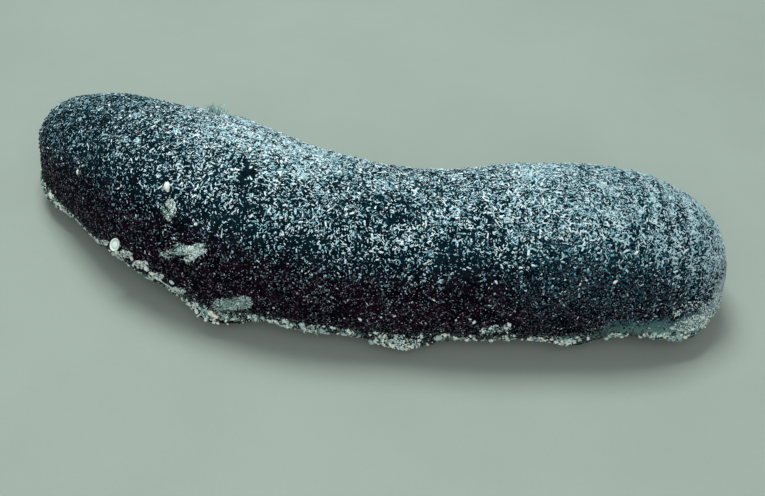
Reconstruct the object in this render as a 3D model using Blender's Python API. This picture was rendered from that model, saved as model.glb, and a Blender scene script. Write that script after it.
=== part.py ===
"""A stout black sea cucumber at life size, resting on the tube feet of its flat sole.

The front end, with the mouth and its tentacles turned down, points to +X and the rear end to -X.
The origin lies on the surface that the animal rests on, under the middle of its bounding box.
"""

import math
import random

import bmesh
import bpy
import numpy as np
from mathutils import Matrix, Vector
from mathutils.bvhtree import BVHTree

# The body, measured along its bent centreline. A station is a share of LENGTH from the rear tip.
LENGTH = 0.388
HALF_WIDTH = 0.0450
HEIGHT = 0.0755
REAR_TIP = (-0.1707, 0.07655)
BEND_DEG = 44.5
BEND_FROM = 0.109
BEND_TO = 0.734
SWELLING = 0.058
SWELLING_AT = 0.335
SWELLING_EVERY = 0.548
REAR_BLUNTNESS = 2.8
FRONT_BLUNTNESS = 3.1

# The cross-section: an arched back over a flattened belly, whose widest level droops at the two tips
WIDEST_LEVEL = 0.40
TIP_DROOP = 0.36
BACK_ROUNDNESS = 2.15
BELLY_ROUNDNESS = 2.9
SOLE_LIFT = 0.0022
LUMP_HEIGHT = 0.0007

# The blunt side teats, low on each flank. Angles are measured down from the widest level.
TEAT_STATIONS = (0.130, 0.401, 0.507, 0.602, 0.700, 0.803)
RIGHT_TEAT_HEIGHTS = (0.0040, 0.0108, 0.0030, 0.0090, 0.0010, 0.0060)
LEFT_TEAT_HEIGHTS = (0.0060, 0.0080, 0.0050, 0.0090, 0.0055, 0.0080)
LEFT_TEAT_SHIFT = -0.05
TEAT_REACH = 0.015
SIDE_DROP_DEG = 46.0
TEAT_SPREAD_DEG = 24.0

# The soft lobes that the two ends spread over the floor at each side, less on the left
LOBE_STATIONS = (0.080, 0.945)
LOBE_HEIGHTS = (0.0090, 0.0125)
LEFT_LOBE_SHARE = 0.6
LOBE_REACH = 0.022
LOBE_SPREAD_DEG = 32.0

# How finely the body is faceted
RINGS = 64
SIDES = 44

# The cuts that part the body into lengths, and the sole from the back
CUTS = (0.13, 0.37, 0.62, 0.87)
SOLE_CUTS = (0.37, 0.62)
GAP = 0.0003
SOLE_TOP = 0.0070

# The tube feet, in rows across the sole
FOOT_STEP = 0.0118
FOOT_JITTER = 0.0017
FOOT_DISC_RADIUS = 0.0015
FOOT_STALK_RADIUS = 0.0009
FOOT_SINK = 0.0020
FOOT_SIDES = 6
FOOT_SPREAD = 0.80
FOOT_TALLEST = 0.0045
FOOT_SEED = 7

# The mouth: a low disc in a recess under the front end, ringed by branching tentacles
MOUTH_STATION = 0.955
MOUTH_RADIUS = 0.0100
MOUTH_DEPTH = 0.0045
MOUTH_PIT_RADIUS = 0.0026
MOUTH_PIT_DEPTH = 0.0030
TENTACLES = 20
TENTACLE_SIDES = 6
TENTACLE_ROOT_RADIUS = 0.0013
TENTACLE_TIP_RADIUS = 0.0010
TENTACLE_REACH = (0.0128, 0.0150)
TENTACLE_ROOT_AT = 0.0070
TENTACLE_RISE = 0.0020
TENTACLE_HEAD_RADIUS = 0.0023
TENTACLE_HEAD_THICKNESS = 0.0014
FLOOR_CLEARANCE = 0.0004

# The vent: a puckered ring in the rear tip with five small teeth
VENT_STATION = 0.005
VENT_SINK = 0.0014
VENT_RADIUS = 0.0072
VENT_DEPTH = 0.0036
VENT_PIT_RADIUS = 0.0034
VENT_TEETH = 5
VENT_TOOTH_LENGTH = 0.0034
VENT_TOOTH_RADIUS = 0.0012
VENT_TOOTH_LEAN_DEG = 35.0
PIT_TURN_DEG = 8.0


def smooth_step(value):
    """Rises smoothly from 0 to 1 as the value goes from 0 to 1."""
    held = np.clip(value, 0.0, 1.0)
    return held * held * (3.0 - 2.0 * held)


def spine_table(samples=800):
    """Stations along the centreline, with the place and heading of each on the floor plan."""
    stations = np.linspace(0.0, 1.0, samples)
    bend_left = 1.0 - smooth_step((stations - BEND_FROM) / (BEND_TO - BEND_FROM))
    headings = -math.radians(BEND_DEG) * bend_left
    stride = LENGTH / (samples - 1)
    steps_x = (np.cos(headings[1:]) + np.cos(headings[:-1])) / 2 * stride
    steps_y = (np.sin(headings[1:]) + np.sin(headings[:-1])) / 2 * stride
    xs = REAR_TIP[0] + np.concatenate([[0.0], np.cumsum(steps_x)])
    ys = REAR_TIP[1] + np.concatenate([[0.0], np.cumsum(steps_y)])
    return stations, xs, ys, headings


def profile_table(samples=2000):
    """Station and fullness (0 at the tips, 1 along the trunk) by the share of the way over the back."""
    polar = np.linspace(0.0, math.pi, samples)
    cosine = np.cos(polar)
    bluntness = np.where(cosine > 0, REAR_BLUNTNESS, FRONT_BLUNTNESS)
    stations = 0.5 - 0.5 * np.sign(cosine) * np.abs(cosine) ** (2 / bluntness)
    fullness = np.abs(np.sin(polar)) ** (2 / bluntness)
    fullness[[0, -1]] = 0.0
    way = np.hypot(np.diff(stations) * LENGTH, np.diff(fullness) * HALF_WIDTH)
    shares = np.concatenate([[0.0], np.cumsum(way)])
    return shares / shares[-1], stations, fullness


SPINE = spine_table()
PROFILE = profile_table()


def spine_at(station):
    """The centreline's place on the floor plan, and its direction, at a station."""
    stations, xs, ys, headings = SPINE
    heading = float(np.interp(station, stations, headings))
    place = Vector((float(np.interp(station, stations, xs)), float(np.interp(station, stations, ys)), 0.0))
    return place, Vector((math.cos(heading), math.sin(heading), 0.0))


def girth(station):
    """How much stouter than its mean the body is at a station."""
    return 1.0 + SWELLING * math.cos(2 * math.pi * (station - SWELLING_AT) / SWELLING_EVERY)


def signed_power(value, exponent):
    """The value's size raised to a power, with its sign kept."""
    return math.copysign(abs(value) ** exponent, value)


def bell(away):
    """A smooth hump: 1 at no distance, falling to nothing."""
    return math.exp(-away * away)


def side_push(station, angle):
    """How far the side teats and the end lobes push the skin outwards, by station and angle round the body."""
    right = math.cos(angle) < 0
    below_deg = math.degrees(math.atan2(-math.sin(angle), abs(math.cos(angle)))) - SIDE_DROP_DEG
    heights = RIGHT_TEAT_HEIGHTS if right else LEFT_TEAT_HEIGHTS
    shift = 0.0 if right else LEFT_TEAT_SHIFT
    push = 0.0
    for centre, height in zip(TEAT_STATIONS, heights):
        push += height * bell((station - centre - shift) * LENGTH / TEAT_REACH)
    push *= bell(below_deg / TEAT_SPREAD_DEG)
    for centre, height in zip(LOBE_STATIONS, LOBE_HEIGHTS):
        along = bell((station - centre) * LENGTH / LOBE_REACH)
        push += (1.0 if right else LEFT_LOBE_SHARE) * height * along * bell(below_deg / LOBE_SPREAD_DEG)
    return push


def lump(station, angle):
    """The slight unevenness of the soft body wall."""
    along = station * 2 * math.pi
    wave = math.sin(3.1 * along + 2.0 * math.sin(angle)) * math.cos(2.0 * angle + 1.7 * along)
    return LUMP_HEIGHT * (wave + 0.6 * math.sin(5.3 * along - 3.0 * angle))


def skin_point(station, fullness, angle):
    """A point of the body's surface. The angle is 0 at the left side, and a quarter turn on the back."""
    place, forward = spine_at(station)
    left = Vector((-forward.y, forward.x, 0.0))
    size = girth(station)
    top = HEIGHT * size
    level = WIDEST_LEVEL * top
    roundness = BACK_ROUNDNESS if math.sin(angle) >= 0 else BELLY_ROUNDNESS
    side = signed_power(math.cos(angle), 2 / roundness)
    rise = signed_power(math.sin(angle), 2 / roundness)
    uneven = 1.0 + lump(station, angle) / HALF_WIDTH
    sideways = HALF_WIDTH * size * fullness * side * uneven
    sideways += math.copysign(side_push(station, angle) * min(1.0, 1.5 * fullness), side)
    reach = top - level if rise >= 0 else level
    drooped = level * (1.0 - TIP_DROOP * (1.0 - fullness))
    height = drooped + fullness * rise * reach * (uneven if rise >= 0 else 1.0)
    return place + left * sideways + Vector((0.0, 0.0, max(height, SOLE_LIFT)))


def whole_body():
    """The whole body as one closed mesh: a sphere drawn out along the centreline."""
    body = bmesh.new()
    bmesh.ops.create_uvsphere(body, u_segments=SIDES, v_segments=RINGS, radius=1.0)
    shares, stations, fullness = PROFILE
    for vertex in body.verts:
        share = math.acos(max(-1.0, min(1.0, vertex.co.z))) / math.pi
        angle = math.atan2(vertex.co.y, vertex.co.x)
        station = float(np.interp(share, shares, stations))
        vertex.co = skin_point(station, float(np.interp(share, shares, fullness)), angle)
    bmesh.ops.recalc_face_normals(body, faces=body.faces)
    return body


def clipped(body, planes):
    """A copy of the mesh without what lies beyond each plane, given as a point and an outward normal."""
    piece = body.copy()
    for point, normal in planes:
        everything = piece.verts[:] + piece.edges[:] + piece.faces[:]
        bmesh.ops.bisect_plane(
            piece, geom=everything, dist=1e-6, plane_co=point, plane_no=normal, clear_outer=True
        )
        rim = [edge for edge in piece.edges if edge.is_boundary]
        if rim:
            bmesh.ops.edgeloop_fill(piece, edges=rim)
    bmesh.ops.recalc_face_normals(piece, faces=piece.faces)
    return piece


def cross_cut(station, outward):
    """The plane of a cut across the body, half a gap short of the station, facing outwards."""
    place, forward = spine_at(station)
    return place - forward * (outward * GAP / 2), forward * outward


def length_planes(cuts, index):
    """The planes that bound one of the lengths that the cuts part the body into."""
    planes = []
    if index > 0:
        planes.append(cross_cut(cuts[index - 1], -1))
    if index < len(cuts):
        planes.append(cross_cut(cuts[index], 1))
    return planes


def material(name, colour, roughness):
    """A plain finish."""
    finish = bpy.data.materials.new(name)
    finish.use_nodes = True
    shader = finish.node_tree.nodes["Principled BSDF"]
    shader.inputs["Base Color"].default_value = (*colour, 1.0)
    shader.inputs["Roughness"].default_value = roughness
    shader.inputs["Metallic"].default_value = 0.0
    return finish


def add_object(name, shape, collection, finish=None):
    """Puts a bmesh in the scene as a named object, and frees the bmesh."""
    mesh = bpy.data.meshes.new(name)
    shape.to_mesh(mesh)
    shape.free()
    mesh.shade_smooth()
    mesh.set_sharp_from_angle(angle=math.radians(40))
    if finish:
        mesh.materials.append(finish)
    made = bpy.data.objects.new(name, mesh)
    collection.objects.link(made)
    return made


def largest_shell(mesh):
    """Keeps only the mesh's largest closed surface."""
    shape = bmesh.new()
    shape.from_mesh(mesh)
    left = set(shape.verts)
    shells = []
    while left:
        shell = set()
        front = [left.pop()]
        while front:
            vertex = front.pop()
            shell.add(vertex)
            near = [edge.other_vert(vertex) for edge in vertex.link_edges]
            front.extend(other for other in near if other in left)
            left.difference_update(near)
        shells.append(shell)
    keep = max(shells, key=len)
    bmesh.ops.delete(shape, geom=[vertex for vertex in shape.verts if vertex not in keep], context="VERTS")
    shape.to_mesh(mesh)
    shape.free()


def apply_boolean(target, operation, collection):
    """Joins or cuts the target by everything in the collection."""
    boolean = target.modifiers.new(operation.title(), "BOOLEAN")
    boolean.operation = operation
    boolean.operand_type = "COLLECTION"
    boolean.collection = collection
    boolean.solver = "EXACT"
    evaluated = target.evaluated_get(bpy.context.evaluated_depsgraph_get())
    mesh = bpy.data.meshes.new_from_object(evaluated)
    target.modifiers.clear()
    target.data = mesh
    largest_shell(mesh)
    mesh.shade_smooth()
    mesh.set_sharp_from_angle(angle=math.radians(40))


def join_pieces(target, shapes, scene_collection):
    """Unites closed shapes with the target, which stays one closed body."""
    pieces = bpy.data.collections.new(target.name + "_pieces")
    scene_collection.children.link(pieces)
    for number, shape in enumerate(shapes):
        add_object(f"{target.name}_piece_{number}", shape, pieces)
    apply_boolean(target, "UNION", pieces)
    for piece in list(pieces.objects):
        bpy.data.objects.remove(piece)
    bpy.data.collections.remove(pieces)


def squashed_ball(radius, depth, frame, sides=24, rings=12):
    """A ball flattened along the frame's own Z axis."""
    ball = bmesh.new()
    bmesh.ops.create_uvsphere(ball, u_segments=sides, v_segments=rings, radius=1.0)
    bmesh.ops.scale(ball, vec=(radius, radius, depth), verts=ball.verts)
    bmesh.ops.transform(ball, matrix=frame, verts=ball.verts)
    return ball


def frame_at(place, outward, reference):
    """A frame at a place with its Z axis outwards and its X axis towards the reference direction."""
    z_axis = outward.normalized()
    x_axis = (reference - z_axis * reference.dot(z_axis)).normalized()
    turn = Matrix((x_axis, z_axis.cross(x_axis), z_axis)).transposed().to_4x4()
    return Matrix.Translation(place) @ turn


def skin_frame(station, angle, reference):
    """A frame on the skin with its Z axis outwards, at a station and an angle round the body."""
    shares, stations, fullness = PROFILE

    def point(at_station, at_angle):
        share = float(np.interp(at_station, stations, shares))
        return skin_point(at_station, float(np.interp(share, shares, fullness)), at_angle)

    step = 0.4 * min(station, 1.0 - station)
    along = point(station + step, angle) - point(station - step, angle)
    across = point(station, angle + 0.05) - point(station, angle - 0.05)
    outward = along.cross(across)
    middle = spine_at(station)[0] + Vector((0.0, 0.0, WIDEST_LEVEL * HEIGHT))
    here = point(station, angle)
    return frame_at(here, outward if outward.dot(here - middle) > 0 else -outward, reference)


def mouth_frame():
    """The mouth's place in the underside of the front end, facing down and forwards."""
    return skin_frame(MOUTH_STATION, -math.pi / 2, spine_at(MOUTH_STATION)[1])


def vent_frame():
    """The vent's place just above the rear tip, facing backwards and up, and a little sunk in."""
    on_skin = skin_frame(VENT_STATION, math.pi / 2, Vector((0.0, 0.0, 1.0)))
    return on_skin @ Matrix.Translation((0.0, 0.0, -VENT_SINK))


def tube_foot(place):
    """A tube foot from the floor to a place in the sole: a sucker disc under a short, tapering stalk."""
    height = place.z + FOOT_SINK
    foot = bmesh.new()
    bmesh.ops.create_cone(
        foot,
        cap_ends=True,
        segments=FOOT_SIDES,
        radius1=FOOT_DISC_RADIUS,
        radius2=FOOT_STALK_RADIUS,
        depth=height,
        matrix=Matrix.Translation((place.x, place.y, height / 2)),
    )
    return foot


def foot_places(first, last, underside, mouth):
    """Where the skin of the sole has its tube feet between two stations, in staggered rows with a scatter."""
    draw = random.Random(FOOT_SEED + round(100 * first))
    rows = round((last - first) * LENGTH / FOOT_STEP)
    places = []
    for row in range(rows):
        station = first + (row + 0.5) * (last - first) / rows
        centre, forward = spine_at(station)
        left = Vector((-forward.y, forward.x, 0.0))
        columns = int(2 * HALF_WIDTH * girth(station) * FOOT_SPREAD / FOOT_STEP)
        for column in range(columns + 1):
            across = (column - columns / 2 + 0.5 * (row % 2) - 0.25) * FOOT_STEP
            across += draw.uniform(-FOOT_JITTER, FOOT_JITTER)
            spot = centre + left * across + forward * draw.uniform(-FOOT_JITTER, FOOT_JITTER)
            hit = underside.ray_cast(spot - Vector((0.0, 0.0, 0.01)), Vector((0.0, 0.0, 1.0)))[0]
            clear = (spot - mouth).xy.length > TENTACLE_REACH[1] + TENTACLE_HEAD_RADIUS + 2 * FOOT_DISC_RADIUS
            if hit is not None and hit.z < FOOT_TALLEST and clear:
                places.append(hit)
    return places


def tentacle(turn, reach, frame, floor):
    """One tentacle: a tapering stalk that bends out from the mouth disc to a shield-like branched head."""
    middle = (TENTACLE_ROOT_AT + reach) / 2
    points = (
        Vector((TENTACLE_ROOT_AT, 0.0, 0.0)),
        Vector((middle, 0.0, MOUTH_DEPTH + TENTACLE_RISE * 0.4)),
        Vector((reach, 0.0, TENTACLE_RISE + TENTACLE_HEAD_THICKNESS)),
    )
    radii = (TENTACLE_ROOT_RADIUS, (TENTACLE_ROOT_RADIUS + TENTACLE_TIP_RADIUS) / 2, TENTACLE_TIP_RADIUS)
    place = frame @ Matrix.Rotation(turn, 4, "Z")
    stalk = bmesh.new()
    rings = []
    for point, radius in zip(points, radii):
        circle = bmesh.ops.create_circle(stalk, segments=TENTACLE_SIDES, radius=radius)
        slope = math.radians(90 * point.x / reach)
        bmesh.ops.transform(
            stalk,
            matrix=Matrix.Translation(point) @ Matrix.Rotation(slope, 4, "Y"),
            verts=circle["verts"],
        )
        rings.append({edge for vertex in circle["verts"] for edge in vertex.link_edges})
    for lower, upper in zip(rings, rings[1:]):
        bmesh.ops.bridge_loops(stalk, edges=list(lower | upper))
    bmesh.ops.holes_fill(stalk, edges=list(rings[0] | rings[-1]), sides=TENTACLE_SIDES)
    head = bmesh.new()
    bmesh.ops.create_cone(
        head,
        cap_ends=True,
        segments=2 * TENTACLE_SIDES,
        radius1=TENTACLE_HEAD_RADIUS,
        radius2=TENTACLE_HEAD_RADIUS * 0.8,
        depth=TENTACLE_HEAD_THICKNESS,
    )
    for vertex in head.verts:
        lobe = 0.5 + 0.5 * math.cos(TENTACLE_SIDES * math.atan2(vertex.co.y, vertex.co.x))
        vertex.co.xy *= 0.68 + 0.32 * lobe
    tip = points[-1]
    bmesh.ops.transform(
        head,
        matrix=Matrix.Translation(tip) @ Matrix.Rotation(math.radians(68), 4, "Y"),
        verts=head.verts,
    )
    for shape in (stalk, head):
        bmesh.ops.recalc_face_normals(shape, faces=shape.faces)
        bmesh.ops.transform(shape, matrix=place, verts=shape.verts)
        lowest = min(vertex.co.z for vertex in shape.verts)
        if lowest < floor:
            bmesh.ops.translate(shape, vec=(0.0, 0.0, floor - lowest), verts=shape.verts)
    return stalk, head


def cut_pit(target, radius, depth, frame, scene_collection):
    """Cuts a round pit round the frame's origin. The cutter is turned a little, so that no edges line up."""
    turned = frame @ Matrix.Rotation(math.radians(PIT_TURN_DEG), 4, "Z")
    pit = bpy.data.collections.new(target.name + "_pit")
    scene_collection.children.link(pit)
    cutter = add_object(target.name + "_pit_cutter", squashed_ball(radius, depth, turned, 16, 8), pit)
    apply_boolean(target, "DIFFERENCE", pit)
    bpy.data.objects.remove(cutter)
    bpy.data.collections.remove(pit)


def build_lengths(body, collection, cutters):
    """The back and flanks, from the rear end to the front end, each a closed length above the sole."""
    skin = material("sandy_black_skin", (0.075, 0.100, 0.110), 0.85)
    names = ("rear_end", "rear_trunk", "mid_trunk", "front_trunk", "front_end")
    above_sole = (Vector((0.0, 0.0, SOLE_TOP + GAP / 2)), Vector((0.0, 0.0, -1.0)))
    lengths = []
    for index, name in enumerate(names):
        piece = clipped(body, length_planes(CUTS, index) + [above_sole])
        lengths.append(add_object(name, piece, collection, skin))
    apply_boolean(lengths[0], "DIFFERENCE", cutters["vent"])
    apply_boolean(lengths[-1], "DIFFERENCE", cutters["mouth"])


def build_sole(body, mouth, collection, scene_collection, cutters):
    """The flat sole in three lengths, each set with tube feet."""
    underside = BVHTree.FromBMesh(body)
    sole_skin = material("sole_skin", (0.062, 0.052, 0.050), 0.7)
    names = ("sole_rear", "sole_middle", "sole_front")
    ends = (0.0, *SOLE_CUTS, 1.0)
    below_back = (Vector((0.0, 0.0, SOLE_TOP - GAP / 2)), Vector((0.0, 0.0, 1.0)))
    for index, name in enumerate(names):
        piece = clipped(body, length_planes(SOLE_CUTS, index) + [below_back])
        sole = add_object(name, piece, collection, sole_skin)
        if index == len(names) - 1:
            apply_boolean(sole, "DIFFERENCE", cutters["mouth"])
        places = foot_places(ends[index], ends[index + 1], underside, mouth)
        feet = [tube_foot(place) for place in places]
        join_pieces(sole, feet, scene_collection)


def build_mouth(frame, collection, scene_collection):
    """The mouth disc and its ring of tentacles, alternately nearer and farther."""
    finish = material("tentacle_skin", (0.050, 0.038, 0.034), 0.5)
    disc = squashed_ball(MOUTH_RADIUS - GAP, MOUTH_DEPTH - GAP, frame)
    mouth = add_object("mouth_tentacles", disc, collection, finish)
    pit_at = frame @ Matrix.Translation((0.0, 0.0, MOUTH_DEPTH))
    cut_pit(mouth, MOUTH_PIT_RADIUS, MOUTH_PIT_DEPTH, pit_at, scene_collection)
    shapes = []
    for number in range(TENTACLES):
        turn = 2 * math.pi * (number + 0.5) / TENTACLES
        shapes.extend(tentacle(turn, TENTACLE_REACH[number % 2], frame, FLOOR_CLEARANCE))
    join_pieces(mouth, shapes, scene_collection)


def build_vent(frame, collection, scene_collection):
    """The puckered ring round the vent, with its five teeth."""
    finish = material("vent_skin", (0.070, 0.060, 0.054), 0.6)
    ring = squashed_ball(VENT_RADIUS - GAP, VENT_DEPTH - GAP, frame)
    vent = add_object("anus", ring, collection, finish)
    pit_at = frame @ Matrix.Translation((0.0, 0.0, VENT_DEPTH))
    cut_pit(vent, VENT_PIT_RADIUS, VENT_DEPTH, pit_at, scene_collection)
    teeth = []
    for number in range(VENT_TEETH):
        tooth = bmesh.new()
        bmesh.ops.create_cone(
            tooth,
            cap_ends=True,
            segments=FOOT_SIDES,
            radius1=VENT_TOOTH_RADIUS,
            radius2=VENT_TOOTH_RADIUS * 0.5,
            depth=VENT_TOOTH_LENGTH,
        )
        turn = Matrix.Rotation(2 * math.pi * (number + 0.31) / VENT_TEETH, 4, "Z")
        seat = Matrix.Translation((VENT_PIT_RADIUS, 0.0, VENT_DEPTH * 0.55))
        lean = Matrix.Rotation(-math.radians(VENT_TOOTH_LEAN_DEG), 4, "Y")
        bmesh.ops.transform(tooth, matrix=frame @ turn @ seat @ lean, verts=tooth.verts)
        teeth.append(tooth)
    join_pieces(vent, teeth, scene_collection)


def main():
    for old in list(bpy.data.objects):
        bpy.data.objects.remove(old)
    scene_collection = bpy.context.scene.collection
    animal = bpy.data.collections.new("sea_cucumber")
    scene_collection.children.link(animal)
    mouth_at = mouth_frame()
    vent_at = vent_frame()
    cutters = {}
    seats = {"mouth": (MOUTH_RADIUS, MOUTH_DEPTH, mouth_at), "vent": (VENT_RADIUS, VENT_DEPTH, vent_at)}
    for name, (radius, depth, frame) in seats.items():
        cutters[name] = bpy.data.collections.new(name + "_cutters")
        scene_collection.children.link(cutters[name])
        cutter = add_object(name + "_cutter", squashed_ball(radius, depth, frame), cutters[name])
        cutter.hide_render = True
        cutter.display_type = "WIRE"
    body = whole_body()
    build_lengths(body, animal, cutters)
    build_sole(body, mouth_at.translation, animal, scene_collection, cutters)
    body.free()
    build_mouth(mouth_at, animal, scene_collection)
    build_vent(vent_at, animal, scene_collection)


main()
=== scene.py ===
"""The looks of a stout black sea cucumber at life size, under its coat of coral sand.

A station is a share of the body's length from the rear tip. An angle round the body is 0 at the left side,
a quarter turn on the ridge of the back, and half a turn at the right side, which faces the camera.
All sizes are in metres unless a name says otherwise. Pixels are those of the photograph.
"""

import logging
import math
from dataclasses import dataclass
from enum import Enum
from functools import cached_property
from typing import Sequence

import bmesh
import bpy
import numpy as np
from mathutils import Matrix, Vector, noise
from mathutils.bvhtree import BVHTree


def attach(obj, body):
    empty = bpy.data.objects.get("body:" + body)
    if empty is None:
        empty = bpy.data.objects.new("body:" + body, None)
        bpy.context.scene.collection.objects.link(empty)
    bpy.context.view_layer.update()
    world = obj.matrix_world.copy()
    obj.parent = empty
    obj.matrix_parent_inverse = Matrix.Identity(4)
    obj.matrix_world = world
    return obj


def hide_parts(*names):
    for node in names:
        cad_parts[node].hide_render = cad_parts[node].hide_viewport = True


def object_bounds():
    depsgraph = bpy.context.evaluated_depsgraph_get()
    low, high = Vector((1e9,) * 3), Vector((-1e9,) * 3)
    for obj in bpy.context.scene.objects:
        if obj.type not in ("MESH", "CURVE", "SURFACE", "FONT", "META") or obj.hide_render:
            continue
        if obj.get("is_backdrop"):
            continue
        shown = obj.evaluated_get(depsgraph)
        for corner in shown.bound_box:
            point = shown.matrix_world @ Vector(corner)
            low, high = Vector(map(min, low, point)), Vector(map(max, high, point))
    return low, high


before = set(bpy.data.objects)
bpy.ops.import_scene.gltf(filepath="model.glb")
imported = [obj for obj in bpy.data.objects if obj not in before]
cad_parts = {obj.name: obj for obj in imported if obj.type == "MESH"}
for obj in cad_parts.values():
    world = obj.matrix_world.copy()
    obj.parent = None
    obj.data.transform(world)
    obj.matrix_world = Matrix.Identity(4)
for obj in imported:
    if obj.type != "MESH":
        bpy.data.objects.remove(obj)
CAD_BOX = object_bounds()

Array = np.ndarray
Random = np.random.Generator
Mesh = bpy.types.Mesh
Node = bpy.types.Node
Socket = bpy.types.NodeSocket
Pair = tuple[float, float]
Triple = tuple[float, float, float]
Colour = Triple
Table = tuple[Pair, ...]
Stops = tuple[tuple[float, Colour], ...]

LOG = logging.getLogger("sea_cucumber")
BODY = "root"
UNWRAP = "OFBake"
UNWRAP_PATCH = 0.003
MOST_TRIANGLES = 190_000
FLESH_NODES = (
    "rear_end", "rear_trunk", "mid_trunk", "front_trunk", "front_end",
    "sole_rear", "sole_middle", "sole_front",
)


class Slot(Enum):
    """The record's material slots."""

    SKIN = "skin"
    SOLE = "sole_skin"
    TENTACLES = "tentacle_skin"
    VENT = "vent_skin"


class Effect(Enum):
    """The effects that more than one finish uses, each a node group."""

    MOTTLE = "mottling"
    DUST = "settled_dust"
    PITTING = "fine_pitting"


def smooth_step(value: Array, start: float | Array = 0.0, over: float | Array = 1.0) -> Array:
    """Rises smoothly from 0 to 1.

    Args:
        value: Any numbers.
        start: Where the rise starts.
        over: How long it is. The rise runs backwards where this is below 0.

    Returns:
        The eased numbers, held between 0 and 1.
    """
    held = np.clip((value - start) / over, 0.0, 1.0)
    return held * held * (3.0 - 2.0 * held)


def bell(value: Array, middle: float, width: float) -> Array:
    """A smooth hump: 1 at the middle, falling to nothing over a few widths."""
    return np.exp(-np.square((value - middle) / width))


def read_table(table: Table, at: Array) -> Array:
    """Reads a small table of (position, value) pairs, with straight lines between them."""
    return np.interp(at, [row[0] for row in table], [row[1] for row in table])


def unit(vectors: Array) -> Array:
    """Scales each row to length 1."""
    return vectors / np.maximum(np.linalg.norm(vectors, axis=-1, keepdims=True), 1e-12)


def moved(corners: Array, frame_at: Array) -> Array:
    """Moves corners out of a frame's own space."""
    return corners @ frame_at[:3, :3].T + frame_at[:3, 3]


def soft_noise(points: Array, size: float, shift: float = 0.0) -> Array:
    """Smooth noise at each point, from about -1 to 1. The shift makes two uses differ."""
    rows = (points / size + shift).tolist()
    return np.array([noise.noise(Vector(row)) for row in rows])


def net_of_cells(points: Array, size: float) -> tuple[Array, Array]:
    """Finds each point's place in a net of irregular cells.

    Args:
        points: One point a row.
        size: The width of a cell.

    Returns:
        How far each point lies from the net, as a share of a cell, and the way across its nearest thread.
    """
    away, across = [], []
    for row in (points / size).tolist():
        distances, middles = noise.voronoi(Vector(row))
        away.append(distances[1] - distances[0])
        across.append((middles[1] - middles[0])[:])
    return np.array(away), unit(np.array(across))


def down_and_near(angle_deg: Array) -> tuple[Array, Array]:
    """How many degrees below the ridge each angle is, and whether it is on the side that faces the camera."""
    return np.abs(angle_deg - 90.0), angle_deg > 90.0


def read_all(
    items: bpy.types.bpy_prop_collection, name: str, width: int = 1, kind: type = np.float32,
) -> Array:
    """Reads one property of every item of a mesh.

    Args:
        items: The items.
        name: The property.
        width: How many numbers it has.
        kind: The kind of its numbers.

    Returns:
        A row an item, or a number an item where the property is a single number.
    """
    values = np.empty(len(items) * width, kind)
    items.foreach_get(name, values)
    return values.reshape(-1, width) if width > 1 else values


def write_values(mesh: Mesh, name: str, values: Array) -> None:
    """Writes a number for each corner of a mesh, under a name that the finishes read."""
    layer = mesh.attributes.new(name, "FLOAT", "POINT")
    layer.data.foreach_set("value", values.astype(np.float32).ravel())


def write_unwrap(mesh: Mesh, places: Array) -> None:
    """Writes the unwrap, a place for each corner of each face."""
    mesh.uv_layers.new(name=UNWRAP).data.foreach_set("uv", places.astype(np.float32).ravel())


def add_object(name: str, data: bpy.types.ID) -> bpy.types.Object:
    """Makes an object and puts it in the scene.

    Args:
        name: Its name.
        data: Its mesh, light or camera.

    Returns:
        The object.
    """
    made = bpy.data.objects.new(name, data)
    bpy.context.scene.collection.objects.link(made)
    return made


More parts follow.
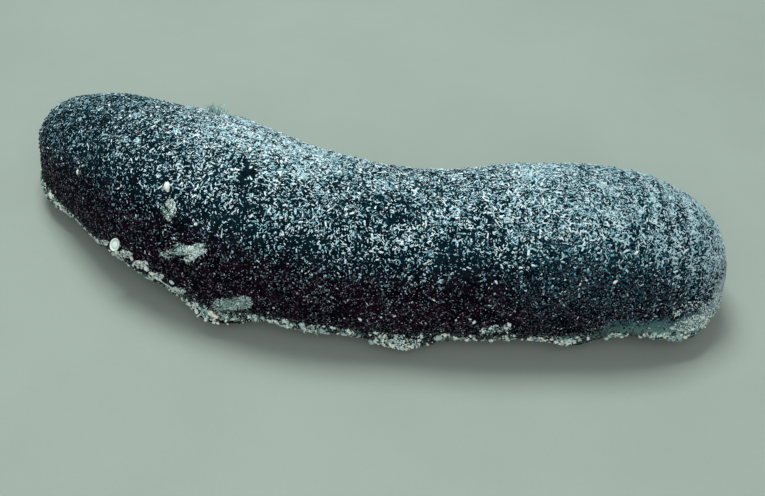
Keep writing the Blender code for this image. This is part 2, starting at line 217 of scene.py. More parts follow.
@dataclass(frozen=True)
class BodyForm:
    """The body's shape, with the same sizes as its solids."""

    length: float = 0.388
    half_width: float = 0.0450
    height: float = 0.0755
    rear_tip: Pair = (-0.1707, 0.07655)
    bend_deg: float = 44.5
    bend_from: float = 0.109
    bend_to: float = 0.734
    swelling: float = 0.058
    swelling_at: float = 0.335
    swelling_every: float = 0.548
    rear_bluntness: float = 2.8
    front_bluntness: float = 3.1
    widest_level: float = 0.40
    tip_droop: float = 0.36
    back_roundness: float = 2.15
    belly_roundness: float = 2.9
    sole_lift: float = 0.0022
    lump_height: float = 0.0007
    teat_stations: tuple[float, ...] = (0.130, 0.401, 0.507, 0.602, 0.700, 0.803)
    right_teat_heights: tuple[float, ...] = (0.0040, 0.0108, 0.0030, 0.0090, 0.0010, 0.0060)
    left_teat_heights: tuple[float, ...] = (0.0060, 0.0080, 0.0050, 0.0090, 0.0055, 0.0080)
    left_teat_shift: float = -0.05
    teat_reach: float = 0.015
    side_drop_deg: float = 46.0
    teat_spread_deg: float = 24.0
    lobe_stations: tuple[float, ...] = (0.080, 0.945)
    lobe_heights: tuple[float, ...] = (0.0090, 0.0125)
    left_lobe_share: float = 0.6
    lobe_reach: float = 0.022
    lobe_spread_deg: float = 32.0
    spine_steps: int = 800
    profile_steps: int = 2000

    @cached_property
    def spine(self) -> tuple[Array, Array, Array, Array]:
        """The centreline on the floor plan.

        Returns:
            The stations along it, with the x, the y and the heading at each.
        """
        stations = np.linspace(0.0, 1.0, self.spine_steps)
        bend_left = 1.0 - smooth_step(stations, self.bend_from, self.bend_to - self.bend_from)
        headings = -math.radians(self.bend_deg) * bend_left
        stride = self.length / (len(stations) - 1)
        xs, ys = (
            start + np.append(0.0, np.cumsum((along(headings[1:]) + along(headings[:-1])) / 2 * stride))
            for start, along in zip(self.rear_tip, (np.cos, np.sin))
        )
        return stations, xs, ys, headings

    @cached_property
    def profile(self) -> tuple[Array, Array, Array]:
        """The body's outline from the side, without its bend.

        Returns:
            The shares of the way over the back, with the station and the fullness at each.
        """
        polar = np.linspace(0.0, math.pi, self.profile_steps)
        cosine = np.cos(polar)
        bluntness = np.where(cosine > 0, self.rear_bluntness, self.front_bluntness)
        stations = 0.5 - 0.5 * np.sign(cosine) * np.abs(cosine) ** (2 / bluntness)
        fullness = np.abs(np.sin(polar)) ** (2 / bluntness)
        fullness[[0, -1]] = 0.0
        way = np.hypot(np.diff(stations) * self.length, np.diff(fullness) * self.half_width)
        shares = np.concatenate([[0.0], np.cumsum(way)])
        return shares / shares[-1], stations, fullness

    def station_at(self, share: Array) -> Array:
        """The station at a share of the way over the back."""
        return np.interp(share, self.profile[0], self.profile[1])

    def fullness_at(self, station: Array) -> Array:
        """How full the section is at a station: 0 at the tips and 1 along the trunk."""
        share = np.interp(station, self.profile[1], self.profile[0])
        return np.interp(share, self.profile[0], self.profile[2])

    def spine_at(self, station: Array) -> tuple[Array, Array, Array]:
        """The x, the y and the heading of the centreline at each station."""
        stations, *along = self.spine
        return tuple(np.interp(station, stations, values) for values in along)

    def girth(self, station: Array) -> Array:
        """How much stouter than its mean the body is at a station."""
        return 1.0 + self.swelling * np.cos(2 * math.pi * (station - self.swelling_at) / self.swelling_every)

    def side_push(self, station: Array, angle: Array) -> Array:
        """How far the side teats and the end lobes push the skin outwards.

        Args:
            station: The stations.
            angle: The angles round the body.

        Returns:
            The push at each place.
        """
        right = np.cos(angle) < 0
        below_deg = np.degrees(np.arctan2(-np.sin(angle), np.abs(np.cos(angle)))) - self.side_drop_deg
        shift = np.where(right, 0.0, self.left_teat_shift)
        push = np.zeros_like(station)
        teats = zip(self.teat_stations, self.right_teat_heights, self.left_teat_heights)
        for centre, on_right, on_left in teats:
            along = bell((station - centre - shift) * self.length, 0.0, self.teat_reach)
            push += np.where(right, on_right, on_left) * along
        push *= bell(below_deg, 0.0, self.teat_spread_deg)
        on_side = np.where(right, 1.0, self.left_lobe_share)
        for centre, height in zip(self.lobe_stations, self.lobe_heights):
            along = bell((station - centre) * self.length, 0.0, self.lobe_reach)
            push += on_side * height * along * bell(below_deg, 0.0, self.lobe_spread_deg)
        return push

    def lump(self, station: Array, angle: Array) -> Array:
        """The slight unevenness of the soft body wall, in waves that don't repeat along the body.

        Args:
            station: The stations.
            angle: The angles round the body.

        Returns:
            A height at each place.
        """
        along = station * 2 * math.pi
        wave = np.sin(3.1 * along + 2.0 * np.sin(angle)) * np.cos(2.0 * angle + 1.7 * along)
        return self.lump_height * (wave + 0.6 * np.sin(5.3 * along - 3.0 * angle))

    def points(self, station: Array, fullness: Array, angle: Array) -> Array:
        """Places on the body's surface.

        Args:
            station: The stations.
            fullness: The fullness of the section at each station.
            angle: The angles round the body.

        Returns:
            One point a row.
        """
        x, y, heading = self.spine_at(station)
        size = self.girth(station)
        top = self.height * size
        level = self.widest_level * top
        roundness = np.where(np.sin(angle) >= 0, self.back_roundness, self.belly_roundness)
        side = np.sign(np.cos(angle)) * np.abs(np.cos(angle)) ** (2 / roundness)
        rise = np.sign(np.sin(angle)) * np.abs(np.sin(angle)) ** (2 / roundness)
        uneven = 1.0 + self.lump(station, angle) / self.half_width
        sideways = self.half_width * size * fullness * side * uneven
        push = self.side_push(station, angle) * np.minimum(1.0, 1.5 * fullness)
        sideways = sideways + np.copysign(push, side)
        reach = np.where(rise >= 0, top - level, level)
        drooped = level * (1.0 - self.tip_droop * (1.0 - fullness))
        height = drooped + fullness * rise * reach * np.where(rise >= 0, uneven, 1.0)
        lifted = np.maximum(height, self.sole_lift)
        return np.stack([x - np.sin(heading) * sideways, y + np.cos(heading) * sideways, lifted], axis=-1)

    def frame_on(self, station: float, angle: float, reference: Vector, sink: float = 0.0) -> Matrix:
        """A frame on the surface with its Z axis outwards.

        Args:
            station: The station.
            angle: The angle round the body.
            reference: The direction that the frame's X axis leans to.
            sink: How far the frame lies under the surface.

        Returns:
            The frame.
        """
        along, round_it = 0.4 * min(station, 1.0 - station), 0.05
        at_station = np.array([station, station + along, station - along, station, station])
        at_angle = np.array([angle, angle, angle, angle + round_it, angle - round_it])
        places = self.points(at_station, self.fullness_at(at_station), at_angle)
        outward = Vector(np.cross(places[1] - places[2], places[3] - places[4])).normalized()
        x, y, _ = self.spine_at(np.array([station]))
        middle = Vector((float(x[0]), float(y[0]), self.widest_level * self.height))
        if outward.dot(Vector(places[0]) - middle) < 0:
            outward.negate()
        x_axis = (reference - outward * reference.dot(outward)).normalized()
        turn = Matrix((x_axis, outward.cross(x_axis), outward)).transposed().to_4x4()
        return Matrix.Translation(Vector(places[0]) - outward * sink) @ turn


class Graph:
    """A node tree that is filled in one call a node."""

    def __init__(self, tree: bpy.types.NodeTree, effects: "EffectLibrary | None" = None) -> None:
        """Holds the tree, and the shared effects where it uses them."""
        self.tree = tree
        self.effects = effects

    def feed(self, node: Node, socket: str | int, value: object) -> None:
        """Gives a node's input a value.

        Args:
            node: The node.
            socket: The input, by name or number.
            value: The socket to link it to, or a plain value.
        """
        if isinstance(value, Socket):
            self.tree.links.new(value, node.inputs[socket])
        else:
            node.inputs[socket].default_value = value

    def add(self, kind: str, feeds: dict | None = None, **settings: object) -> Node:
        """Adds a node.

        Args:
            kind: The node's type.
            feeds: What goes into its inputs, by name or number.
            settings: The node's own settings.

        Returns:
            The node.
        """
        made = self.tree.nodes.new(kind)
        for name, value in settings.items():
            setattr(made, name, value)
        for socket, value in (feeds or {}).items():
            self.feed(made, socket, value)
        return made

    @property
    def place(self) -> Socket:
        """The object's own coordinates."""
        return self.add("ShaderNodeTexCoord").outputs["Object"]

    def level(self, axis: str) -> Socket:
        """The place along one of the object's own axes."""
        return self.add("ShaderNodeSeparateXYZ", {0: self.place}).outputs[axis]

    def attribute(self, name: str) -> Socket:
        """The value of a mesh attribute."""
        return self.add("ShaderNodeAttribute", attribute_name=name).outputs["Fac"]

    def effect(self, effect: Effect, **values: object) -> Socket:
        """Places a shared effect, with what goes into its inputs, by name with _ for a space."""
        return self.effects.place(self, effect, values)

    def noise(self, scale: Socket, detail: float, roughness: float) -> Socket:
        """Noise over the object's own coordinates."""
        feeds = {"Vector": self.place, "Scale": scale, "Detail": detail, "Roughness": roughness}
        return self.add("ShaderNodeTexNoise", feeds).outputs["Fac"]

    def calculate(self, operation: str, *values: object) -> Socket:
        """Calculates with sockets or plain numbers."""
        return self.add("ShaderNodeMath", dict(enumerate(values)), operation=operation).outputs[0]

    def remap(
        self, value: object, low: object, high: object, to_low: object = 0.0, to_high: object = 1.0,
    ) -> Socket:
        """Eases a value from the range low to high to another range."""
        feeds = {"Value": value, "From Min": low, "From Max": high, "To Min": to_low, "To Max": to_high}
        return self.add("ShaderNodeMapRange", feeds, interpolation_type="SMOOTHSTEP").outputs["Result"]

    def blend(self, share: object, first: Colour | Socket, second: Colour | Socket) -> Socket:
        """Blends two colours.

        Args:
            share: How much of the second colour shows.
            first: A colour, or a socket.
            second: A colour, or a socket.

        Returns:
            The blended colour's socket.
        """
        feeds = {0: share}
        for socket, colour in ((6, first), (7, second)):
            feeds[socket] = (*colour, 1.0) if isinstance(colour, tuple) else colour
        return self.add("ShaderNodeMix", feeds, data_type="RGBA").outputs[2]

    def ramp(self, value: Socket, stops: Stops) -> Socket:
        """Turns a value into a colour.

        Args:
            value: The socket to read.
            stops: The positions and their colours.

        Returns:
            The colour's socket.
        """
        made = self.add("ShaderNodeValToRGB", {"Fac": value})
        elements = made.color_ramp.elements
        while len(elements) < len(stops):
            elements.new(0.5)
        for element, (position, colour) in zip(elements, stops):
            element.position = position
            element.color = (*colour, 1.0)
        return made.outputs["Color"]


class EffectLibrary:
    """Builds each shared effect once, as a node group, and places it in the materials."""

    def __init__(self) -> None:
        """Starts with no group built."""
        self.groups: dict[Effect, bpy.types.NodeTree] = {}
        self.makers = {
            Effect.MOTTLE: (self._mottle, {"Scale": 80.0, "Low": 0.35, "High": 0.65}, "Mask"),
            Effect.DUST: (self._dust, {"Amount": 0.5, "Scale": 900.0, "Edge": 0.12}, "Mask"),
            Effect.PITTING: (
                self._pitting, {"Scale": 700.0, "Pit Scale": 1100.0, "Pit Share": 0.5}, "Height",
            ),
        }

    def place(self, graph: Graph, effect: Effect, values: dict[str, object]) -> Socket:
        """Places an effect in a material.

        Args:
            graph: The material's nodes.
            effect: The effect.
            values: What goes into the group's inputs, by name with _ for a space.

        Returns:
            The group's output.
        """
        if effect not in self.groups:
            self.groups[effect] = self._group(effect)
        node = graph.add("ShaderNodeGroup", node_tree=self.groups[effect])
        for name, value in values.items():
            graph.feed(node, name.replace("_", " ").title(), value)
        return node.outputs[0]

    def _group(self, effect: Effect) -> bpy.types.NodeTree:
        """Builds an effect's node group.

        Args:
            effect: The effect.

        Returns:
            The group.
        """
        maker, inputs, output = self.makers[effect]
        tree = bpy.data.node_groups.new(effect.value, "ShaderNodeTree")
        for label, value in inputs.items():
            made = tree.interface.new_socket(label, in_out="INPUT", socket_type="NodeSocketFloat")
            made.default_value = value
        tree.interface.new_socket(output, in_out="OUTPUT", socket_type="NodeSocketFloat")
        graph = Graph(tree)
        made = maker(graph, graph.add("NodeGroupInput").outputs)
        graph.add("NodeGroupOutput", {0: made})
        return tree

    @staticmethod
    def _mottle(graph: Graph, given: bpy.types.NodeOutputs) -> Socket:
        """Soft blotches over the surface."""
        return graph.remap(graph.noise(given["Scale"], 4.0, 0.6), given["Low"], given["High"])

    @staticmethod
    def _dust(graph: Graph, given: bpy.types.NodeOutputs) -> Socket:
        """Fine specks that cover as much of the surface as Amount says.

        Args:
            graph: The group's nodes.
            given: The group's inputs.

        Returns:
            The mask's socket.
        """
        specks = graph.remap(graph.noise(given["Scale"], 2.0, 0.7), 0.25, 0.75)
        level = graph.calculate("SUBTRACT", 1.0, given["Amount"])
        below, above = (graph.calculate(side, level, given["Edge"]) for side in ("SUBTRACT", "ADD"))
        return graph.remap(specks, below, above)

    @staticmethod
    def _pitting(graph: Graph, given: bpy.types.NodeOutputs) -> Socket:
        """The height of a fine pitted and creased surface.

        Args:
            graph: The group's nodes.
            given: The group's inputs.

        Returns:
            The height's socket.
        """
        creases = graph.noise(given["Scale"], 3.0, 0.55)
        pits = graph.add("ShaderNodeTexVoronoi", {"Vector": graph.place, "Scale": given["Pit Scale"]})
        return graph.calculate("MULTIPLY_ADD", pits.outputs["Distance"], given["Pit Share"], creases)


@dataclass(frozen=True)
class Finish:
    """A finish: what every one of them shares."""

    name: str
    shine: float = 0.15
    roughness: Pair = (0.6, 0.9)
    relief: float = 0.00015
    relief_strength: float = 0.8
    pit_scale: float = 1400.0
    crease_share: float = 0.6

    def colour(self, graph: Graph) -> Socket:
        """The finish's own colour, which each kind of finish makes."""
        raise NotImplementedError

    def build(self, effects: EffectLibrary) -> bpy.types.Material:
        """Makes the material.

        Args:
            effects: The shared effects.

        Returns:
            The material.
        """
        made = bpy.data.materials.new(self.name)
        made.use_nodes = True
        graph = Graph(made.node_tree, effects)
        wear = graph.effect(Effect.MOTTLE, scale=260.0, low=0.3, high=0.7)
        creases = self.pit_scale * self.crease_share
        height = graph.effect(Effect.PITTING, scale=creases, pit_scale=self.pit_scale)
        relief = {"Height": height, "Strength": self.relief_strength, "Distance": self.relief}
        feeds = {
            "Base Color": self.colour(graph),
            "Roughness": graph.remap(wear, 0.0, 1.0, *self.roughness),
            "Specular IOR Level": self.shine,
            "Normal": graph.add("ShaderNodeBump", relief).outputs["Normal"],
        }
        for socket, value in feeds.items():
            graph.feed(made.node_tree.nodes["Principled BSDF"], socket, value)
        return made


@dataclass(frozen=True)
class SkinFinish(Finish):
    """Blue-black skin that turns maroon-black low on the flanks, and darker there as painted shade, under a film
    of pale silt.
    """

    back: Colour = (0.0014, 0.0062, 0.0100)
    back_light: Colour = (0.0026, 0.014, 0.021)
    # The low flank's maroon hue is the skin's own; its darkness below the back's colours is painted shade.
    flank_with_painted_shade: Colour = (0.0012, 0.0010, 0.0030)
    paler_flank_with_painted_shade: Colour = (0.0110, 0.0026, 0.0070)
    sole: Colour = (0.045, 0.036, 0.032)
    silt_high: Colour = (0.024, 0.096, 0.120)
    silt_low: Colour = (0.155, 0.262, 0.220)
    green_level: Pair = (0.012, 0.030)

    def colour(self, graph: Graph) -> Socket:
        """Lays the silt over the skin's own colours.

        Args:
            graph: The material's nodes.

        Returns:
            The colour's socket.
        """
        blotches = graph.effect(Effect.MOTTLE, scale=120.0, low=0.35, high=0.65)
        back = graph.blend(blotches, self.back, self.back_light)
        # The low flank's colour: the skin's maroon, darkened as painted shade.
        flank_with_painted_shade = graph.blend(blotches, self.flank_with_painted_shade, self.paler_flank_with_painted_shade)
        skin = graph.blend(graph.attribute("flank_with_painted_shade"), back, flank_with_painted_shade)
        skin = graph.blend(graph.attribute("sole"), skin, self.sole)
        silt = graph.blend(graph.remap(graph.level("Z"), *self.green_level), self.silt_low, self.silt_high)
        dust = graph.effect(Effect.DUST, amount=graph.attribute("silt"), scale=1100.0, edge=0.2)
        return graph.blend(dust, skin, silt)


@dataclass(frozen=True)
class GrainFinish(Finish):
    """Loose bits whose colour goes by the tone that each was given."""

    stops: Stops = ()
    stain: Colour = (0.040, 0.205, 0.235)
    stain_share: float = 0.25
    low_stops: Stops = ()
    low_level: Pair = (0.026, 0.050)
    film_from: Pair = (0.050, 0.160)
    film_share: float = 0.25

    def colour(self, graph: Graph) -> Socket:
        """Reads each bit's tone, and stains it a little in blotches, more so towards the front.

        Args:
            graph: The material's nodes.

        Returns:
            The colour's socket.
        """
        own = graph.ramp(graph.attribute("tone"), self.stops)
        if self.low_stops:
            low = graph.ramp(graph.attribute("tone"), self.low_stops)
            own = graph.blend(graph.remap(graph.level("Z"), *self.low_level), low, own)
        blotches = graph.effect(Effect.MOTTLE, scale=900.0, low=0.45, high=0.75)
        film = graph.remap(graph.level("X"), *self.film_from, 0.0, self.film_share)
        return graph.blend(graph.remap(blotches, 0.0, 1.0, film, self.stain_share), own, self.stain)


@dataclass(frozen=True)
class FleshFinish(Finish):
    """Soft dark flesh, mottled, that pales towards the tips by their tone."""

    dark: Colour = (0.02, 0.02, 0.02)
    light: Colour = (0.05, 0.05, 0.05)
    tip: Colour = (0.20, 0.20, 0.20)

    def colour(self, graph: Graph) -> Socket:
        """Mottles the flesh and pales its tips."""
        blotches = graph.effect(Effect.MOTTLE, scale=420.0, low=0.35, high=0.65)
        return graph.blend(graph.attribute("tone"), graph.blend(blotches, self.dark, self.light), self.tip)


@dataclass(frozen=True)
class FloorFinish(Finish):
    """The plain pale floor."""

    light: Colour = (0.366, 0.409, 0.360)
    dark: Colour = (0.346, 0.387, 0.338)

    def colour(self, graph: Graph) -> Socket:
        """A pale colour with the faintest mottling."""
        return graph.blend(graph.effect(Effect.MOTTLE, scale=9.0, low=0.3, high=0.7), self.light, self.dark)


SAND_STOPS = (
    (0.00, (0.018, 0.016, 0.024)),
    (0.25, (0.110, 0.112, 0.136)),
    (0.50, (0.150, 0.318, 0.370)),
    (0.75, (0.440, 0.725, 0.795)),
    (0.93, (0.890, 0.970, 0.990)),
    (1.00, (0.920, 0.840, 0.680)),
)
LOW_SAND_STOPS = (
    (0.00, (0.016, 0.014, 0.022)),
    (0.25, (0.088, 0.088, 0.110)),
    (0.50, (0.215, 0.240, 0.270)),
    (0.75, (0.580, 0.620, 0.660)),
    (1.00, (0.900, 0.890, 0.890)),
)
GRAVEL_STOPS = (
    (0.00, (0.018, 0.028, 0.022)),
    (0.25, (0.078, 0.142, 0.120)),
    (0.50, (0.270, 0.410, 0.375)),
    (0.75, (0.570, 0.735, 0.685)),
    (0.93, (0.895, 0.975, 0.935)),
    (1.00, (0.960, 0.900, 0.760)),
)
SKIN_FINISH = SkinFinish("black_skin_under_silt", 0.02, (0.62, 0.92), 0.00035, pit_scale=900.0)
SAND_FINISH = GrainFinish(
    "coral_sand", stops=SAND_STOPS, low_stops=LOW_SAND_STOPS, film_share=0.42, stain_share=0.45,
)
GRAVEL_FINISH = GrainFinish("coral_gravel", stops=GRAVEL_STOPS, stain_share=0.18, film_share=0.15)
SHELL_FINISH = GrainFinish("lime_shell", 0.15, (0.35, 0.6), 0.00008, stops=GRAVEL_STOPS, stain_share=0.08)
PAPILLA_FINISH = FleshFinish(
    "dark_papillae", dark=(0.006, 0.006, 0.009), light=(0.012, 0.011, 0.016), tip=(0.15, 0.145, 0.18),
)
FOOT_FINISH = FleshFinish(
    "tube_foot_skin", dark=(0.035, 0.028, 0.026), light=(0.07, 0.056, 0.05), tip=(0.24, 0.21, 0.18),
)
TENTACLE_FINISH = FleshFinish(
    "tentacle_flesh", roughness=(0.4, 0.65),
    dark=(0.016, 0.012, 0.011), light=(0.04, 0.03, 0.026), tip=(0.13, 0.11, 0.09),
)
VENT_FINISH = FleshFinish(
    "vent_flesh", roughness=(0.45, 0.7),
    dark=(0.02, 0.016, 0.015), light=(0.055, 0.045, 0.04), tip=(0.16, 0.13, 0.11),
)
FLOOR_FINISH = FloorFinish("pale_floor", roughness=(0.8, 0.95), relief=0.0001)


class Workshop:
    """Puts finished meshes in the scene, each with its material and its body."""

    def __init__(self) -> None:
        """Starts with no finish made."""
        self.effects = EffectLibrary()
        self.finishes: dict[str, bpy.types.Material] = {}

    def material(self, finish: Finish) -> bpy.types.Material:
        """The finish's material, made once."""
        if finish.name not in self.finishes:
            self.finishes[finish.name] = finish.build(self.effects)
        return self.finishes[finish.name]

    def mount(self, mesh: Mesh, finish: Finish, slot: Slot, stands_for: Sequence[str] = ()) -> None:
        """Makes a piece of the animal from a mesh.

        Args:
            mesh: The mesh, in place. Its name becomes the piece's.
            finish: The piece's finish.
            slot: The record's slot that the finish comes from. It is not used.
            stands_for: The solids that the piece replaces.
        """
        mesh.materials.append(self.material(finish))
        piece = add_object(mesh.name, mesh)
        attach(piece, BODY)
        slot.value
        if stands_for:
            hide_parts(*stands_for)
        LOG.info("%s: %d faces, finish %s", piece.name, len(mesh.polygons), finish.name)


@dataclass(frozen=True)
class SmallShape:
    """A small closed shape that is repeated: its corners and its triangles."""

    corners: Array
    triangles: Array

    @classmethod
    def taken_from(cls, shape: bmesh.types.BMesh) -> "SmallShape":
        """Reads a bmesh, which is then freed.

        Args:
            shape: The bmesh.

        Returns:
            The shape as arrays.
        """
        bmesh.ops.recalc_face_normals(shape, faces=shape.faces[:])
        bmesh.ops.triangulate(shape, faces=shape.faces[:])
        shape.verts.index_update()
        corners = np.array([vertex.co[:] for vertex in shape.verts])
        triangles = np.array([[vertex.index for vertex in face.verts] for face in shape.faces])
        shape.free()
        return cls(corners, triangles)

    @classmethod
    def chip(cls) -> "SmallShape":
        """An eight-sided chip with a square outline.

        Returns:
            The chip, one unit across.
        """
        shape = bmesh.new()
        corner = math.sqrt(0.5)
        turn = Matrix.Rotation(math.pi / 4, 4, "Z")
        bmesh.ops.create_uvsphere(shape, u_segments=4, v_segments=2, radius=corner, matrix=turn)
        bmesh.ops.scale(shape, vec=(1.0, 1.0, corner), verts=shape.verts[:])
        return cls.taken_from(shape)

    @classmethod
    def pebble(cls, finer: int = 1) -> "SmallShape":
        """A rounded bit.

        Args:
            finer: How often its faces are divided.

        Returns:
            The bit, one unit across.
        """
        shape = bmesh.new()
        bmesh.ops.create_icosphere(shape, subdivisions=finer, radius=0.5)
        return cls.taken_from(shape)

    @classmethod
    def rod(cls, sides: int, lengths: int, end_radius: float) -> "SmallShape":
        """A rod of radius 1 along the Z axis from 0 to 1.

        Args:
            sides: How many sides it has.
            lengths: How many lengths it is divided into.
            end_radius: Its radius at the far end.

        Returns:
            The rod.
        """
        shape = bmesh.new()
        bmesh.ops.create_cone(
            shape, cap_ends=True, segments=sides, radius1=1.0, radius2=end_radius, depth=1.0,
            matrix=Matrix.Translation((0.0, 0.0, 0.5)),
        )
        for cut in range(1, lengths):
            everything = shape.verts[:] + shape.edges[:] + shape.faces[:]
            place = (0.0, 0.0, cut / lengths)
            bmesh.ops.bisect_plane(shape, geom=everything, plane_co=place, plane_no=(0.0, 0.0, 1.0))
        return cls.taken_from(shape)

    @classmethod
    def turned(cls, profile: Sequence[Pair], steps: int) -> "SmallShape":
        """A shape turned round the Z axis.

        Args:
            profile: Pairs of radius and height, from the axis and back to it.
            steps: How many steps the turn has.

        Returns:
            The closed shape.
        """
        shape = bmesh.new()
        points = [shape.verts.new((radius, 0.0, height)) for radius, height in profile]
        edges = [shape.edges.new(pair) for pair in zip(points, points[1:])]
        bmesh.ops.spin(
            shape, geom=points + edges, cent=(0.0, 0.0, 0.0), axis=(0.0, 0.0, 1.0), dvec=(0.0, 0.0, 0.0),
            angle=2 * math.pi, steps=steps, use_merge=True, use_duplicate=False,
        )
        bmesh.ops.remove_doubles(shape, verts=shape.verts[:], dist=1e-7)
        return cls.taken_from(shape)

    @cached_property
    def polar(self) -> tuple[Array, Array]:
        """Each corner's distance from the Z axis and its angle round it."""
        x, y, _ = self.corners.T
        return np.hypot(x, y), np.arctan2(y, x)

    def folded(self, folds: int, height: float, share: Array) -> "SmallShape":
        """The same shape with radial folds.

        Args:
            folds: How many folds there are.
            height: Their height.
            share: How strong they are at each corner.

        Returns:
            The folded shape.
        """
        corners = self.corners.copy()
        corners[:, 2] += height * np.cos(folds * self.polar[1]) * share
        return SmallShape(corners, self.triangles)


@dataclass(frozen=True)
class Seats:
    """Places on the skin, one a row: the point, the way out of it, and the place on its unwrap."""

    points: Array
    normals: Array
    unwrap: Array

    def __len__(self) -> int:
        """How many places there are."""
        return len(self.points)

    @classmethod
    def gathered(cls, groups: Sequence["Seats"]) -> "Seats":
        """The places of several groups, in order."""
        fields = ("points", "normals", "unwrap")
        return cls(*(np.concatenate([getattr(group, name) for group in groups]) for name in fields))

    def only(self, keep: Array) -> "Seats":
        """Some of the places."""
        return Seats(self.points[keep], self.normals[keep], self.unwrap[keep])

    def raised(self, by: Array) -> "Seats":
        """The same places, each moved out of the skin by its own distance."""
        return Seats(self.points + self.normals * by[:, None], self.normals, self.unwrap)

    def frames(self, draw: Random, tilt: float, ways: Array | None = None) -> Array:
        """A frame at each place, with its Z axis roughly outwards.

        Args:
            draw: Where the random numbers come from.
            tilt: How far the Z axis leans, as a slope.
            ways: Where the X axes point, or None for any way.

        Returns:
            Rotation matrices, whose columns are the X, Y and Z axes.
        """
        z_axis = unit(self.normals + tilt * draw.normal(size=self.normals.shape))
        any_way = draw.normal(size=self.normals.shape) if ways is None else ways
        x_axis = unit(any_way - z_axis * np.sum(any_way * z_axis, axis=1, keepdims=True))
        return np.stack([x_axis, np.cross(z_axis, x_axis), z_axis], axis=2)


class Swarm:
    """Many copies of one small shape, joined in pieces that each stay under the most triangles."""

    def __init__(self, name: str, shape: SmallShape, smooth: bool = False) -> None:
        """Starts with no copy.

        Args:
            name: The pieces' name.
            shape: The shape that is repeated.
            smooth: Whether the pieces are shaded smooth.
        """
        self.name, self.shape, self.smooth = name, shape, smooth
        self.copies: list[tuple[Array, Array, Array]] = []

    def add(self, corners: Array, tones: Array, unwrap: Array) -> None:
        """Adds copies.

        Args:
            corners: The corners of each copy, in place.
            tones: The tone of each copy, or of each of its corners.
            unwrap: Each copy's place on the skin's unwrap.
        """
        count, size = corners.shape[:2]
        self.copies.append((corners, np.broadcast_to(np.reshape(tones, (count, -1)), (count, size)), unwrap))

    def add_one(self, corners: Array, tones: Array, unwrap: Array) -> None:
        """Adds one copy."""
        self.add(corners[None], tones[None], unwrap)

    def scatter(self, seats: Seats, sizes: Array, tones: Array, draw: Random,
                tilt: float = 0.2, ragged: float = 0.3, ways: Array | None = None) -> None:
        """Adds a copy at each seat, a little out of shape.

        Args:
            seats: Where the copies sit.
            sizes: The length, width and thickness of each.
            tones: The tone of each.
            draw: Where the random numbers come from.
            tilt: How far the copies lean, as a slope.
            ragged: How far out of shape they are, as a share of their size.
            ways: Where their lengths point, or None for any way.
        """
        base = self.shape.corners
        uneven = 1.0 + ragged * draw.uniform(-1.0, 1.0, size=(len(seats), len(base), 3))
        self.place(seats, base[None] * uneven * sizes[:, None, :], seats.frames(draw, tilt, ways), tones)

    def place(self, seats: Seats, corners: Array, turns: Array, tones: Array) -> None:
        """Adds a copy at each seat.

        Args:
            seats: Where the copies sit.
            corners: The corners of each copy, in its own frame.
            turns: The frames' rotation matrices.
            tones: The tone of each copy, or of each of its corners.
        """
        placed = np.einsum("nij,nvj->nvi", turns, corners) + seats.points[:, None, :]
        self.add(placed, tones, seats.unwrap)

    def build(self) -> list[Mesh]:
        """Joins the copies.

        Returns:
            The meshes, named by number where there is more than one.
        """
        corners, tones, unwrap = (np.concatenate(rows) for rows in zip(*self.copies))
        most = MOST_TRIANGLES // len(self.shape.triangles)
        pieces = math.ceil(len(corners) / most)
        meshes = []
        for number, part in enumerate(np.array_split(np.arange(len(corners)), pieces)):
            name = self.name if pieces == 1 else f"{self.name}_{number + 1}"
            meshes.append(self._join(name, corners[part], tones[part], unwrap[part]))
        return meshes

    def _join(self, name: str, corners: Array, tones: Array, unwrap: Array) -> Mesh:
        """Joins some of the copies in one mesh.

        Args:
            name: The mesh's name.
            corners: The corners of each copy.
            tones: The tone of each corner.
            unwrap: Each copy's place on the skin's unwrap.

        Returns:
            The mesh.
        """
        copies, size = corners.shape[:2]
        triangles = (self.shape.triangles[None] + size * np.arange(copies)[:, None, None]).reshape(-1, 3)
        mesh = bpy.data.meshes.new(name)
        mesh.vertices.add(copies * size)
        mesh.vertices.foreach_set("co", corners.astype(np.float32).ravel())
        mesh.loops.add(triangles.size)
        mesh.loops.foreach_set("vertex_index", triangles.astype(np.int32).ravel())
        mesh.polygons.add(len(triangles))
        mesh.polygons.foreach_set("loop_start", np.arange(0, triangles.size, 3, dtype=np.int32))
        mesh.update(calc_edges=True)
        flat = self.shape.corners[:, :2]
        patch = UNWRAP_PATCH * (flat - (flat.max(axis=0) + flat.min(axis=0)) / 2) / np.ptp(flat, axis=0).max()
        inside = np.clip(unwrap, UNWRAP_PATCH, 1.0 - UNWRAP_PATCH)
        write_unwrap(mesh, (inside[:, None, :] + patch[None]).reshape(-1, 2)[triangles.ravel()])
        write_values(mesh, "tone", tones)
        if self.smooth:
            mesh.shade_smooth()
        else:
            mesh.shade_flat()
        return mesh


